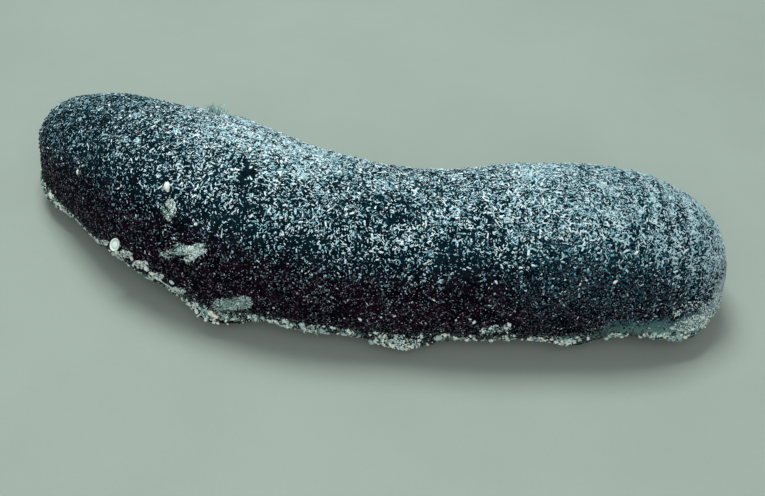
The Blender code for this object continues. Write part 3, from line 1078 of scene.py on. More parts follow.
@dataclass(frozen=True)
class PhotoCamera:
    """The camera at the photograph's viewing angle."""

    frame_px: tuple[int, int] = (765, 496)
    lens_mm: float = 50.0
    sensor_mm: float = 36.0
    elevation_deg: float = 42.0
    distance: float = 0.5236
    target: Triple = (0.0126, -0.03445, 0.028)

    @cached_property
    def axes(self) -> tuple[Array, Array, Array]:
        """The camera's right, up and back directions.

        Returns:
            Three vectors of length 1.
        """
        tip = math.radians(self.elevation_deg)
        back = np.array([0.0, -math.cos(tip), math.sin(tip)])
        right = np.array([1.0, 0.0, 0.0])
        return right, np.cross(back, right), back

    @cached_property
    def eye(self) -> Array:
        """Where the camera stands."""
        return np.array(self.target) + self.axes[2] * self.distance

    def rays(self, pixels: Array) -> Array:
        """The direction of the ray through each pixel.

        Args:
            pixels: One pixel a row.

        Returns:
            One vector of length 1 a row.
        """
        right, up, back = self.axes
        focal = self.lens_mm / self.sensor_mm * self.frame_px[0]
        across = (pixels[:, :1] - self.frame_px[0] / 2) * right - (pixels[:, 1:] - self.frame_px[1] / 2) * up
        return unit(across - focal * back)

    def build(self) -> None:
        """Makes the camera and sets it as the scene's."""
        data = bpy.data.cameras.new("camera")
        data.lens = self.lens_mm
        data.sensor_width = self.sensor_mm
        data.sensor_fit = "HORIZONTAL"
        camera = add_object("camera", data)
        turn = Matrix(self.axes).transposed().to_4x4()
        camera.matrix_world = Matrix.Translation(Vector(self.eye)) @ turn
        bpy.context.scene.camera = camera


@dataclass(frozen=True)
class Spot:
    """A round spot on the skin, placed by a pixel, where sand and silt are thicker or thinner."""

    pixel: Pair
    radius: float
    sand: float
    silt: float


@dataclass(frozen=True)
class CoatBands:
    """Where sand and silt lie on the skin, by station and by the angle down from the ridge of the back."""

    near_edge_deg: Table = (
        (0.0, 78.0), (0.12, 61.0), (0.22, 51.0), (0.32, 45.0), (0.45, 52.0), (0.60, 54.0), (0.70, 52.0),
        (0.80, 48.0), (0.88, 50.0), (0.94, 66.0), (1.0, 98.0),
    )
    far_edge_more_deg: float = 20.0
    crest_beyond_deg: float = 20.0
    edge_softness_deg: float = 17.0
    ridge_cover: Table = (
        (0.0, 0.22), (0.12, 0.20), (0.20, 0.20), (0.27, 0.34), (0.35, 0.62), (0.42, 0.63), (0.51, 0.37),
        (0.66, 0.38), (0.76, 0.49), (0.90, 0.52), (1.0, 0.50),
    )
    edge_cover: Table = (
        (0.0, 0.13), (0.12, 0.12), (0.22, 0.13), (0.33, 0.12), (0.45, 0.15), (0.66, 0.20), (0.80, 0.27),
        (0.92, 0.40), (1.0, 0.50),
    )
    low_cover: Table = (
        (0.0, 0.10), (0.12, 0.10), (0.25, 0.10), (0.36, 0.13), (0.48, 0.15), (0.56, 0.155), (0.64, 0.15),
        (0.80, 0.165), (0.90, 0.205), (0.96, 0.28), (1.0, 0.42),
    )
    low_fade_deg: Pair = (75.0, 50.0)
    low_fade: float = 0.65
    sole_cover: float = 0.02
    sole_from_deg: float = 128.0
    sole_blend_deg: float = 10.0
    ridge_silt: float = 0.17
    ridge_silt_past_edge_deg: float = 6.0
    shoulder_silt: float = 0.29
    shoulder_from: Pair = (0.66, 0.12)
    shoulder_fade_deg: Pair = (70.0, 50.0)
    lip_silt: float = 0.60
    lip_down_deg: Pair = (115.0, 13.0)
    lip_shares: Triple = (0.45, 0.55, 0.4)
    lip_front_from: Pair = (0.76, 0.10)
    lip_rear_from: Pair = (0.34, -0.08)

    def edge(self, station: Array, near: Array) -> Array:
        """How far down the back, in degrees, the thick coat reaches."""
        return read_table(self.near_edge_deg, station) + np.where(near, 0.0, self.far_edge_more_deg)

    def under(self, down_deg: Array) -> Array:
        """How far each place is on the sole, from 0 to 1."""
        return smooth_step(down_deg, self.sole_from_deg, self.sole_blend_deg)

    def cover(self, station: Array, down_deg: Array, near: Array) -> Array:
        """The share of the skin that sand hides.

        Args:
            station: The stations.
            down_deg: The angles down from the ridge.
            near: Whether each place is on the side that faces the camera.

        Returns:
            A share for each place.
        """
        edge = self.edge(station, near)
        ridge = read_table(self.ridge_cover, station)
        past_crest = np.where(near, down_deg, -down_deg) + self.crest_beyond_deg
        thinned = np.clip(past_crest / (edge + self.crest_beyond_deg), 0.0, 1.0)
        thick = ridge + (read_table(self.edge_cover, station) - ridge) * thinned
        fall = smooth_step(down_deg - edge + self.edge_softness_deg, 0.0, 2 * self.edge_softness_deg)
        faded = 1.0 - self.low_fade * smooth_step(down_deg, *self.low_fade_deg)
        low = read_table(self.low_cover, station) * faded
        mixed = thick * (1.0 - fall) + low * fall
        under = self.under(down_deg)
        return mixed * (1.0 - under) + self.sole_cover * under

    def silt(self, station: Array, down_deg: Array, near: Array) -> Array:
        """How thick the film of silt is, from 0 to 1.

        Args:
            station: The stations.
            down_deg: The angles down from the ridge.
            near: Whether each place is on the side that faces the camera.

        Returns:
            The film's amount at each place.
        """
        reach = self.edge(station, near) + self.ridge_silt_past_edge_deg
        high = self.ridge_silt * (1.0 - smooth_step(down_deg, 0.0, reach))
        front = self.shoulder_silt * smooth_step(station, *self.shoulder_from)
        front = front * (1.0 - smooth_step(down_deg, *self.shoulder_fade_deg))
        middle, at_front, at_rear = self.lip_shares
        along = middle + at_front * smooth_step(station, *self.lip_front_from)
        along = along + at_rear * smooth_step(station, *self.lip_rear_from)
        lip = self.lip_silt * bell(down_deg, *self.lip_down_deg) * along
        return np.maximum(np.maximum(high, front), lip) * (1.0 - self.under(down_deg))


@dataclass
class Skin:
    """The whole skin in one piece, from which everything that sits on it takes its place."""

    form: BodyForm
    bands: CoatBands
    camera: PhotoCamera
    rings: int = 330
    sides: int = 288
    coat_depth: float = 0.0006
    waves: Table = ((0.016, 0.0005), (0.0055, 0.00026), (0.0030, 0.00016))
    patchiness: Table = ((0.021, 0.40), (0.0070, 0.50), (0.0032, 0.50))
    most_cover: float = 0.93
    fold_height: float = 0.0005
    fold_every: float = 0.0085
    fold_wander: float = 1.3
    fold_bareness: float = 0.4
    bend_folds_deg: Pair = (20.0, 45.0)
    bend_folds_at: Pair = (0.45, 0.16)
    front_folds_at: Pair = (0.91, 0.05)
    front_folds: float = 0.9
    front_folds_lowest: float = -0.75
    mouth_station: float = 0.955
    mouth_radii: Pair = (0.0065, 0.0125)
    mouth_depth: float = 0.0026
    vent_station: float = 0.005
    vent_sink: float = 0.0014
    vent_radii: Pair = (0.0015, 0.0072)
    vent_depth: float = 0.0050
    lip_height: float = 0.0006
    lip_width: float = 0.0020
    flank_blend_deg: Pair = (-8.0, 30.0)
    sole_blend_deg: float = 12.0
    uneven: float = 0.35
    spot_fade: Pair = (0.45, 0.9)
    spots: tuple[Spot, ...] = (
        Spot((248.0, 172.0), 0.0027, -0.8, -0.7),
        Spot((247.0, 141.0), 0.0090, -0.07, 0.0),
        Spot((247.0, 160.0), 0.0110, -0.12, 0.0),
        Spot((250.0, 192.0), 0.0120, -0.07, 0.0),
        Spot((292.0, 150.0), 0.0100, 0.06, 0.1),
        Spot((335.0, 163.0), 0.0120, 0.18, 0.2),
        Spot((340.0, 238.0), 0.0150, 0.05, 0.0),
        Spot((155.0, 180.0), 0.0110, 0.05, 0.0),
        Spot((387.0, 216.0), 0.0110, -0.05, 0.0),
        Spot((431.0, 203.0), 0.0130, -0.05, 0.0),
        Spot((408.0, 250.0), 0.0130, 0.04, 0.0),
        Spot((523.0, 221.0), 0.0120, 0.06, 0.0),
        Spot((569.0, 218.0), 0.0120, 0.05, 0.0),
        Spot((477.0, 282.0), 0.0120, -0.05, 0.0),
        Spot((137.0, 115.0), 0.0034, 0.4, 0.5),
        Spot((137.0, 141.0), 0.0028, 0.3, 0.4),
        Spot((300.0, 175.0), 0.0040, 0.3, 0.3),
        Spot((455.0, 176.0), 0.0030, 0.3, 0.5),
        Spot((512.0, 240.0), 0.0026, 0.3, 0.5),
        Spot((682.0, 326.0), 0.0050, 0.4, 0.5),
        Spot((694.0, 322.0), 0.0060, 0.5, 0.5),
        Spot((707.0, 314.0), 0.0060, 0.4, 0.5),
        Spot((720.0, 292.0), 0.0080, 0.3, 0.4),
        Spot((612.0, 327.0), 0.0050, 0.0, 0.5),
        Spot((630.0, 328.0), 0.0055, 0.0, 0.6),
        Spot((648.0, 328.0), 0.0055, 0.0, 0.6),
        Spot((664.0, 327.0), 0.0060, 0.1, 0.6),
    )

    def mouth_frame(self) -> Matrix:
        """The mouth's place in the underside of the front end.

        Returns:
            Its frame, with the Z axis down and the X axis forwards.
        """
        heading = float(self.form.spine_at(np.array([self.mouth_station]))[2][0])
        forwards = Vector((math.cos(heading), math.sin(heading), 0.0))
        return self.form.frame_on(self.mouth_station, -math.pi / 2, forwards)

    def vent_frame(self) -> Matrix:
        """The vent's place just above the rear tip, facing backwards, a little sunk in."""
        return self.form.frame_on(self.vent_station, math.pi / 2, Vector((0.0, 0.0, 1.0)), self.vent_sink)

    def build(self) -> Mesh:
        """Makes the skin's mesh and keeps it as arrays.

        Returns:
            The mesh.
        """
        ball = bmesh.new()
        bmesh.ops.create_uvsphere(ball, u_segments=self.sides, v_segments=self.rings, radius=1.0)
        mesh = bpy.data.meshes.new("skin")
        ball.to_mesh(mesh)
        ball.free()
        sphere = read_all(mesh.vertices, "co", 3).astype(float)
        share = np.arccos(np.clip(sphere[:, 2], -1.0, 1.0)) / math.pi
        angle = np.arctan2(sphere[:, 1], sphere[:, 0])
        station = self.form.station_at(share)
        fullness = np.interp(share, self.form.profile[0], self.form.profile[2])
        points = self.form.points(station, fullness, angle)
        normals = self._set_points(mesh, points)
        points = points + normals * self._relief(points, station, angle)[:, None]
        points = self._dished(points, self.mouth_frame(), self.mouth_radii, self.mouth_depth)
        points = self._dished(points, self.vent_frame(), self.vent_radii, self.vent_depth)
        self._set_points(mesh, points)
        self._keep(mesh, self._unwrap(mesh, share, angle))
        self._write_film(mesh, points, station, angle)
        mesh.shade_smooth()
        return mesh

    @staticmethod
    def _set_points(mesh: Mesh, points: Array) -> Array:
        """Moves the mesh's corners, with its faces outwards.

        Args:
            mesh: The mesh.
            points: Where its corners go.

        Returns:
            The normal at each corner.
        """
        mesh.vertices.foreach_set("co", points.astype(np.float32).ravel())
        mesh.update()
        normals = read_all(mesh.vertex_normals, "vector", 3).astype(float)
        if np.mean(np.sum(normals * (points - points.mean(axis=0)), axis=1)) < 0:
            mesh.flip_normals()
            normals = -normals
        return normals

    def _relief(self, points: Array, station: Array, angle: Array) -> Array:
        """How far the skin stands out from the solids' surface.

        Args:
            points: The points of the surface.
            station: Their stations.
            angle: Their angles round the body.

        Returns:
            A height for each point, mostly below 0.
        """
        height = np.full(len(points), -self.coat_depth)
        for number, (size, tall) in enumerate(self.waves):
            height += tall * soft_noise(points, size, 3.7 * number)
        return height + self.fold_height * self._folds(points, station, np.degrees(angle))

    def _folds(self, points: Array, station: Array, angle_deg: Array) -> Array:
        """The cross folds of the bend's inner side and of the front end.

        Args:
            points: Places on the skin.
            station: Their stations.
            angle_deg: Their angles round the body.

        Returns:
            A number for each place: 1 on a fold and -1 in a furrow, less where the folds are weak.
        """
        inner_side = bell(angle_deg, *self.bend_folds_deg) * bell(station, *self.bend_folds_at)
        above_sole = np.sin(np.radians(angle_deg)) > self.front_folds_lowest
        front = self.front_folds * bell(station, *self.front_folds_at) * above_sole
        wander = self.fold_wander * soft_noise(points, 0.022, 9.0)
        wave = np.sin(2 * math.pi * station * self.form.length / self.fold_every + wander)
        return np.maximum(inner_side, front) * wave

    def _dished(self, points: Array, frame_at: Matrix, radii: Pair, depth: float) -> Array:
        """Sinks a round seat in the skin, with a low lip round it.

        Args:
            points: The skin's points.
            frame_at: The seat's frame, with its Z axis outwards.
            radii: Where the seat's floor ends and where its wall ends.
            depth: How deep it is.

        Returns:
            The moved points.
        """
        local = moved(points, np.array(frame_at.inverted()))
        radius = np.hypot(local[:, 0], local[:, 1])
        near = np.abs(local[:, 2]) < 3 * radii[1]
        wall = 1.0 - smooth_step(radius, radii[0], radii[1] - radii[0])
        lip = self.lip_height * bell(radius - radii[1], 0.5 * self.lip_width, self.lip_width)
        shift = np.where(near, lip - depth * wall, 0.0)
        return points + shift[:, None] * np.array(frame_at.to_3x3())[:, 2]

    def _unwrap(self, mesh: Mesh, share: Array, angle: Array) -> Array:
        """Unwraps the skin by angle and share, with its seam along the middle of the sole.

        Args:
            mesh: The skin.
            share: Each corner's share of the way over the back.
            angle: Each corner's angle round the body.

        Returns:
            The place on the unwrap of each corner of each face.
        """
        around = np.mod((angle + math.pi / 2) / (2 * math.pi) + 1e-6, 1.0)
        loops = read_all(mesh.loops, "vertex_index", kind=np.int32)
        starts = read_all(mesh.polygons, "loop_start", kind=np.int32)
        owner = np.repeat(np.arange(len(starts)), np.diff(np.append(starts, len(loops))))
        u, v = around[loops], share[loops]
        pole = (v < 1e-4) | (v > 1.0 - 1e-4)
        highest = np.zeros(len(starts))
        np.maximum.at(highest, owner, np.where(pole, 0.0, u))
        u = np.where((highest[owner] > 0.9) & (u < 0.1), 1.0, u)
        total, count = np.zeros(len(starts)), np.zeros(len(starts))
        np.add.at(total, owner, np.where(pole, 0.0, u))
        np.add.at(count, owner, np.where(pole, 0.0, 1.0))
        u = np.where(pole, (total / np.maximum(count, 1.0))[owner], u)
        places = np.stack([u, v], axis=1)
        write_unwrap(mesh, places)
        return places

    def _keep(self, mesh: Mesh, places: Array) -> None:
        """Keeps the skin's triangles as arrays, to draw seats from and to cast rays at.

        Args:
            mesh: The skin.
            places: The place on the unwrap of each corner of each face.
        """
        mesh.calc_loop_triangles()
        self.triangles = read_all(mesh.loop_triangles, "vertices", 3, np.int32)
        self.unwrapped = places[read_all(mesh.loop_triangles, "loops", 3, np.int32)]
        self.points = read_all(mesh.vertices, "co", 3).astype(float)
        self.normals = read_all(mesh.vertex_normals, "vector", 3).astype(float)
        edges = self.points[self.triangles]
        crossed = np.cross(edges[:, 1] - edges[:, 0], edges[:, 2] - edges[:, 0])
        self.areas = 0.5 * np.linalg.norm(crossed, axis=1)
        self.centres = edges.mean(axis=1)
        self.tree = BVHTree.FromPolygons(self.points.tolist(), self.triangles.tolist(), all_triangles=True)
        self.station, self.angle_deg = self.read_unwrap(self.unwrapped.mean(axis=1))
        self.down_deg, self.near = down_and_near(self.angle_deg)

    def read_unwrap(self, places: Array) -> tuple[Array, Array]:
        """The station and the angle in degrees round the body at places on the unwrap."""
        return self.form.station_at(places[:, 1]), places[:, 0] * 360.0 - 90.0

    def _spot_change(self, points: Array, which: str) -> Array:
        """How much the spots add to or take from the coat.

        Args:
            points: Places on the skin.
            which: The spot's field to read, sand or silt.

        Returns:
            A change for each place.
        """
        change = np.zeros(len(points))
        ragged = 1.0 + self.uneven * soft_noise(points, 0.0035, 8.0)
        for spot in self.spots:
            for middle in self.seats_at(np.array([spot.pixel])).points:
                away = np.linalg.norm(points - middle, axis=1) * ragged
                change += getattr(spot, which) * (1.0 - smooth_step(away / spot.radius, *self.spot_fade))
        return change

    def _write_film(self, mesh: Mesh, points: Array, station: Array, angle: Array) -> None:
        """Writes where the silt lies, and where the skin turns maroon and darker as painted shade, for the
        skin's finish.

        Args:
            mesh: The skin.
            points: Its points.
            station: Their stations.
            angle: Their angles round the body.
        """
        down, near = down_and_near(np.mod(np.degrees(angle) + 90.0, 360.0) - 90.0)
        silt = self.bands.silt(station, down, near) * (1.0 + self.uneven * soft_noise(points, 0.012, 5.0))
        films = {
            "silt": silt + self._spot_change(points, "silt"),
            # Where the skin turns to the low flank's maroon, darkened as painted shade.
            "flank_with_painted_shade": smooth_step(down - self.bands.edge(station, near), *self.flank_blend_deg),
            "sole": smooth_step(down, self.bands.sole_from_deg, self.sole_blend_deg),
        }
        for name, values in films.items():
            write_values(mesh, name, np.clip(values, 0.0, 1.0))

    @cached_property
    def cover(self) -> Array:
        """How much of the skin the sand hides.

        Returns:
            A share for each of the skin's triangles.
        """
        patches = 1.0 + sum(much * soft_noise(self.centres, size, size) for size, much in self.patchiness)
        folds = self._folds(self.centres, self.station, self.angle_deg)
        patches = patches * (1.0 - self.fold_bareness * folds)
        share = self.bands.cover(self.station, self.down_deg, self.near) * patches
        return np.clip(share + self._spot_change(self.centres, "sand"), 0.0, self.most_cover)

    def spread(self, count: int, weights: Array, draw: Random) -> Seats:
        """Draws places at random.

        Args:
            count: How many.
            weights: How likely each square metre of each triangle is.
            draw: Where the random numbers come from.

        Returns:
            The places.
        """
        chance = np.cumsum(self.areas * weights)
        picked = np.searchsorted(chance, draw.uniform(0.0, chance[-1], count))
        first, second = draw.uniform(size=(2, count))
        folded = first + second > 1.0
        first, second = np.where(folded, 1.0 - first, first), np.where(folded, 1.0 - second, second)
        shares = np.stack([1.0 - first - second, first, second], axis=1)[:, :, None]
        corners = self.triangles[picked]
        return Seats(
            np.sum(self.points[corners] * shares, axis=1),
            unit(np.sum(self.normals[corners] * shares, axis=1)),
            np.sum(self.unwrapped[picked] * shares, axis=1),
        )

    def _hits(self, starts: Array, ways: Array) -> Seats:
        """Casts rays at the skin.

        Args:
            starts: Where the rays start.
            ways: Their directions.

        Returns:
            Where they meet the skin, without those that miss.
        """
        points, faces = [], []
        for start, way in zip(starts.tolist(), ways.tolist()):
            place, _, face, _ = self.tree.ray_cast(Vector(start), Vector(way))
            if place is not None:
                points.append(place[:])
                faces.append(face)
        faces = np.array(faces, int)
        normals = unit(self.normals[self.triangles[faces]].sum(axis=1))
        return Seats(np.array(points).reshape(-1, 3), normals, self.unwrapped[faces].mean(axis=1))

    def seats_at(self, pixels: Array) -> Seats:
        """The places on the skin under pixels of the photograph, without those beside the body."""
        return self._hits(np.broadcast_to(self.camera.eye, (len(pixels), 3)), self.camera.rays(pixels))

    def seats_over(self, floor_points: Array) -> Seats:
        """The places on the skin straight above points of the floor."""
        return self._hits(floor_points, np.broadcast_to((0.0, 0.0, 1.0), (len(floor_points), 3)))


@dataclass
class Layer:
    """What sits on the skin and is made in one go."""

    skin: Skin
    shop: Workshop
    seed: int = 0

    @cached_property
    def draw(self) -> Random:
        """Where the layer's random numbers come from."""
        return np.random.default_rng(self.seed)

    def build(self) -> None:
        """Makes the layer, which each kind of layer does in its own way."""
        raise NotImplementedError

    def stones(self, lengths: Array, breadth: Pair) -> Array:
        """Draws the sizes of stones.

        Args:
            lengths: Their lengths.
            breadth: The least and the most of their widths and thicknesses, as shares of the length.

        Returns:
            The length, width and thickness of each.
        """
        shares = self.draw.uniform(*breadth, (2, len(lengths)))
        return lengths[:, None] * np.stack([np.ones(len(lengths)), *shares], axis=1)

    def mount(
        self, swarm: Swarm, finish: Finish, slot: Slot = Slot.SKIN, stands_for: Sequence[str] = (),
    ) -> None:
        """Joins a swarm and puts its pieces in the scene.

        Args:
            swarm: The swarm.
            finish: Its finish.
            slot: The record's slot that the finish comes from.
            stands_for: The solids that it replaces.
        """
        for mesh in swarm.build():
            self.shop.mount(mesh, finish, slot, stands_for)


@dataclass
class SandCoat(Layer):
    """The coat of coral sand: small splinters and grains that lie on the skin in all directions."""

    length_middle: float = 0.00095
    length_spread: float = 0.40
    length_limits: Pair = (0.00045, 0.0026)
    width_share: Pair = (0.22, 0.38)
    thickness_share: Pair = (0.5, 0.8)
    thinnest: float = 0.00022
    flattest_share: float = 0.7
    low_from: float = 0.75
    low_shrink: float = 0.34
    low_widen: float = 0.50
    net_size: float = 0.0017
    net_width: float = 0.27
    net_core: float = 0.3
    overlap: float = 1.3
    tries: float = 2.4
    stray_share: float = 0.14
    stray_turn: float = 0.35
    fine_count: int = 20_000
    fine_length: Pair = (0.00030, 0.00060)
    lift_share: float = 0.22
    tone_ridge: float = 0.73
    # Grains low on the flanks darken to this tone, a painted shade, all but the bright share.
    tone_low_painted_shade: float = 0.30
    # Grains are darker towards the rear, partly painted shade where the light falls off, and paler towards the
    # front.
    tone_along_partly_painted_shade: Table = (
        (0.0, -0.09), (0.18, -0.09), (0.28, 0.05), (0.42, 0.07), (0.52, 0.04), (0.66, 0.04), (0.78, 0.06),
        (1.0, 0.20),
    )
    tone_spread: float = 0.23
    tone_drift: float = 0.12
    tone_limits: Pair = (0.05, 0.93)
    bright_share: float = 0.15
    cream_share: float = 0.006
    seed: int = 11

    def build(self) -> None:
        """Lays the grains along a net of threads over the skin, with strays and finer grains between them."""
        skin, draw = self.skin, self.draw
        self.swarm = Swarm("sand_coat", SmallShape.chip())
        depth = -np.log(1.0 - skin.cover)
        middle_size = self.length_middle ** 2 * sum(self.width_share) / 2 * self.overlap
        wanted = int(np.sum(skin.areas * depth) / middle_size)
        seats = skin.spread(int(wanted * self.tries), depth, draw)
        away, across = net_of_cells(seats.points, self.net_size)
        on_net = 1.0 - smooth_step(away / self.net_width, self.net_core)
        stays = draw.uniform(size=len(seats)) < self.stray_share + (1.0 - self.stray_share) * on_net
        picked = np.flatnonzero(stays)[:wanted]
        seats = seats.only(picked)
        ways = np.cross(seats.normals, across[picked]) + self.stray_turn * draw.normal(size=(len(seats), 3))
        lengths = self.length_middle * np.exp(self.length_spread * draw.normal(size=len(seats)))
        self._lay(seats, np.clip(lengths, *self.length_limits), ways)
        fine = skin.spread(self.fine_count, depth, draw)
        self._lay(fine, draw.uniform(*self.fine_length, len(fine)))
        LOG.info("sand coat: %d of %d grains on the net, %d fine", len(picked), wanted, len(fine))
        self.mount(self.swarm, SAND_FINISH)

    def _lay(self, seats: Seats, lengths: Array, ways: Array | None = None) -> None:
        """Lays grains of given lengths.

        Args:
            seats: Where they lie.
            lengths: Their lengths, before those low on the flanks are shortened.
            ways: Where their lengths point, or None for any way.
        """
        draw, count = self.draw, len(seats)
        station, angle_deg = self.skin.read_unwrap(seats.unwrap)
        down, near = down_and_near(angle_deg)
        reach = self.low_from * self.skin.bands.edge(station, near)
        low = smooth_step(down, reach, reach)
        lengths = lengths * (1.0 - self.low_shrink * low)
        widths = lengths * draw.uniform(*self.width_share, count) * (1.0 + self.low_widen * low)
        widths = np.maximum(widths, self.thinnest)
        thick = widths * draw.uniform(*self.thickness_share, count)
        thick = np.maximum(thick, self.flattest_share * self.thinnest)
        bright = draw.uniform(size=count) < self.bright_share
        # Grains darken down the flank towards the low tone, a painted shade.
        tones = self.tone_ridge + (self.tone_low_painted_shade - self.tone_ridge) * low * ~bright
        # Darker towards the rear, partly painted shade.
        tones = tones + read_table(self.tone_along_partly_painted_shade, station)
        tones = tones + self.tone_spread * draw.normal(size=count)
        tones = tones + self.tone_drift * soft_noise(seats.points, 0.006, 4.0)
        cream = draw.uniform(size=count) < self.cream_share
        tones = np.where(cream, 1.0, np.clip(tones, *self.tone_limits))
        sizes = np.stack([lengths, widths, thick], axis=1)
        self.swarm.scatter(seats.raised(self.lift_share * thick), sizes, tones, draw, ways=ways)


@dataclass
class Papillae(Layer):
    """The small dark warts of the back, whose tips stand clear of the sand."""

    count: int = 5000
    radius: Pair = (0.00034, 0.00064)
    height: Pair = (0.00045, 0.00085)
    profile: Table = ((0.0, -0.3), (1.0, -0.3), (0.95, 0.25), (0.62, 0.75), (0.0, 1.0))
    sides: int = 6
    lowest_deg: Pair = (126.0, -12.0)
    front_fade: Pair = (0.86, 0.08)
    flank_from_deg: Pair = (45.0, 30.0)
    ridge_share: float = 0.12
    pale_from: Pair = (0.1, 0.7)
    mostly_dark: float = 1.5
    seed: int = 23

    def build(self) -> None:
        """Sets the warts over the back and flanks."""
        skin, draw = self.skin, self.draw
        weights = smooth_step(skin.down_deg, *self.lowest_deg)
        weights = weights * (1.0 - smooth_step(skin.station, *self.front_fade))
        weights = weights * (self.ridge_share + smooth_step(skin.down_deg, *self.flank_from_deg))
        seats = skin.spread(self.count, weights, draw)
        swarm = Swarm("papillae", SmallShape.turned(self.profile, self.sides), smooth=True)
        radius = draw.uniform(*self.radius, len(seats))
        sizes = np.stack([radius, radius, draw.uniform(*self.height, len(seats))], axis=1)
        paleness = draw.uniform(size=(len(seats), 1)) ** self.mostly_dark
        tips = paleness * smooth_step(swarm.shape.corners[:, 2], *self.pale_from)
        swarm.scatter(seats, sizes, tips, draw, tilt=0.15, ragged=0.08)
        self.mount(swarm, PAPILLA_FINISH)


@dataclass
class MarginGravel(Layer):
    """The coral gravel that clings to the lower rim of the body, on both sides."""

    count: int = 5400
    level_deg: float = 117.0
    spread_deg: float = 9.0
    highest: float = 0.017
    length: Pair = (0.0006, 0.0026)
    mostly_short: float = 3.2
    breadth: Pair = (0.45, 0.85)
    clusters: Table = (
        (0.0, 0.1), (0.05, 0.8), (0.10, 1.5), (0.24, 1.4), (0.29, 0.4), (0.35, 0.4), (0.42, 1.1),
        (0.50, 1.0), (0.56, 0.9), (0.66, 0.45), (0.72, 0.7), (0.80, 1.1), (0.86, 0.9), (0.92, 1.3),
        (0.98, 0.5), (1.0, 0.1),
    )
    clumping: float = 2.6
    clump_size: float = 0.009
    clump_limits: Pair = (0.02, 3.0)
    lift_share: float = 0.2
    floor_share: float = 0.6
    tone: Pair = (0.64, 0.36)
    tone_limits: Pair = (0.05, 1.0)
    seed: int = 31

    def build(self) -> None:
        """Sticks the gravel to the rim, where it is clear of the floor."""
        skin, draw = self.skin, self.draw
        clumps = 1.0 + self.clumping * soft_noise(skin.centres, self.clump_size, 6.0)
        weights = bell(skin.down_deg, self.level_deg, self.spread_deg)
        weights = weights * read_table(self.clusters, skin.station)
        weights = weights * np.clip(clumps, *self.clump_limits) * (skin.centres[:, 2] < self.highest)
        seats = skin.spread(self.count, weights, draw)
        shortest, longest = self.length
        lengths = shortest + (longest - shortest) * draw.uniform(size=len(seats)) ** self.mostly_short
        sizes = self.stones(lengths, self.breadth)
        clear = seats.points[:, 2] > self.floor_share * lengths
        middle, spread = self.tone
        tones = np.clip(middle + spread * draw.normal(size=len(seats)), *self.tone_limits)
        swarm = Swarm("margin_gravel", SmallShape.pebble())
        seats = seats.raised(self.lift_share * sizes[:, 2])
        swarm.scatter(seats.only(clear), sizes[clear], tones[clear], draw)
        self.mount(swarm, GRAVEL_FINISH)


@dataclass(frozen=True)
class Clump:
    """A heap of silt and turf on the skin. Each ellipse is its middle and its two radii, in pixels."""

    ellipses: tuple[tuple[float, float, float, float], ...]
    beads: int
    fibres: int
    heap: float
    tone: float


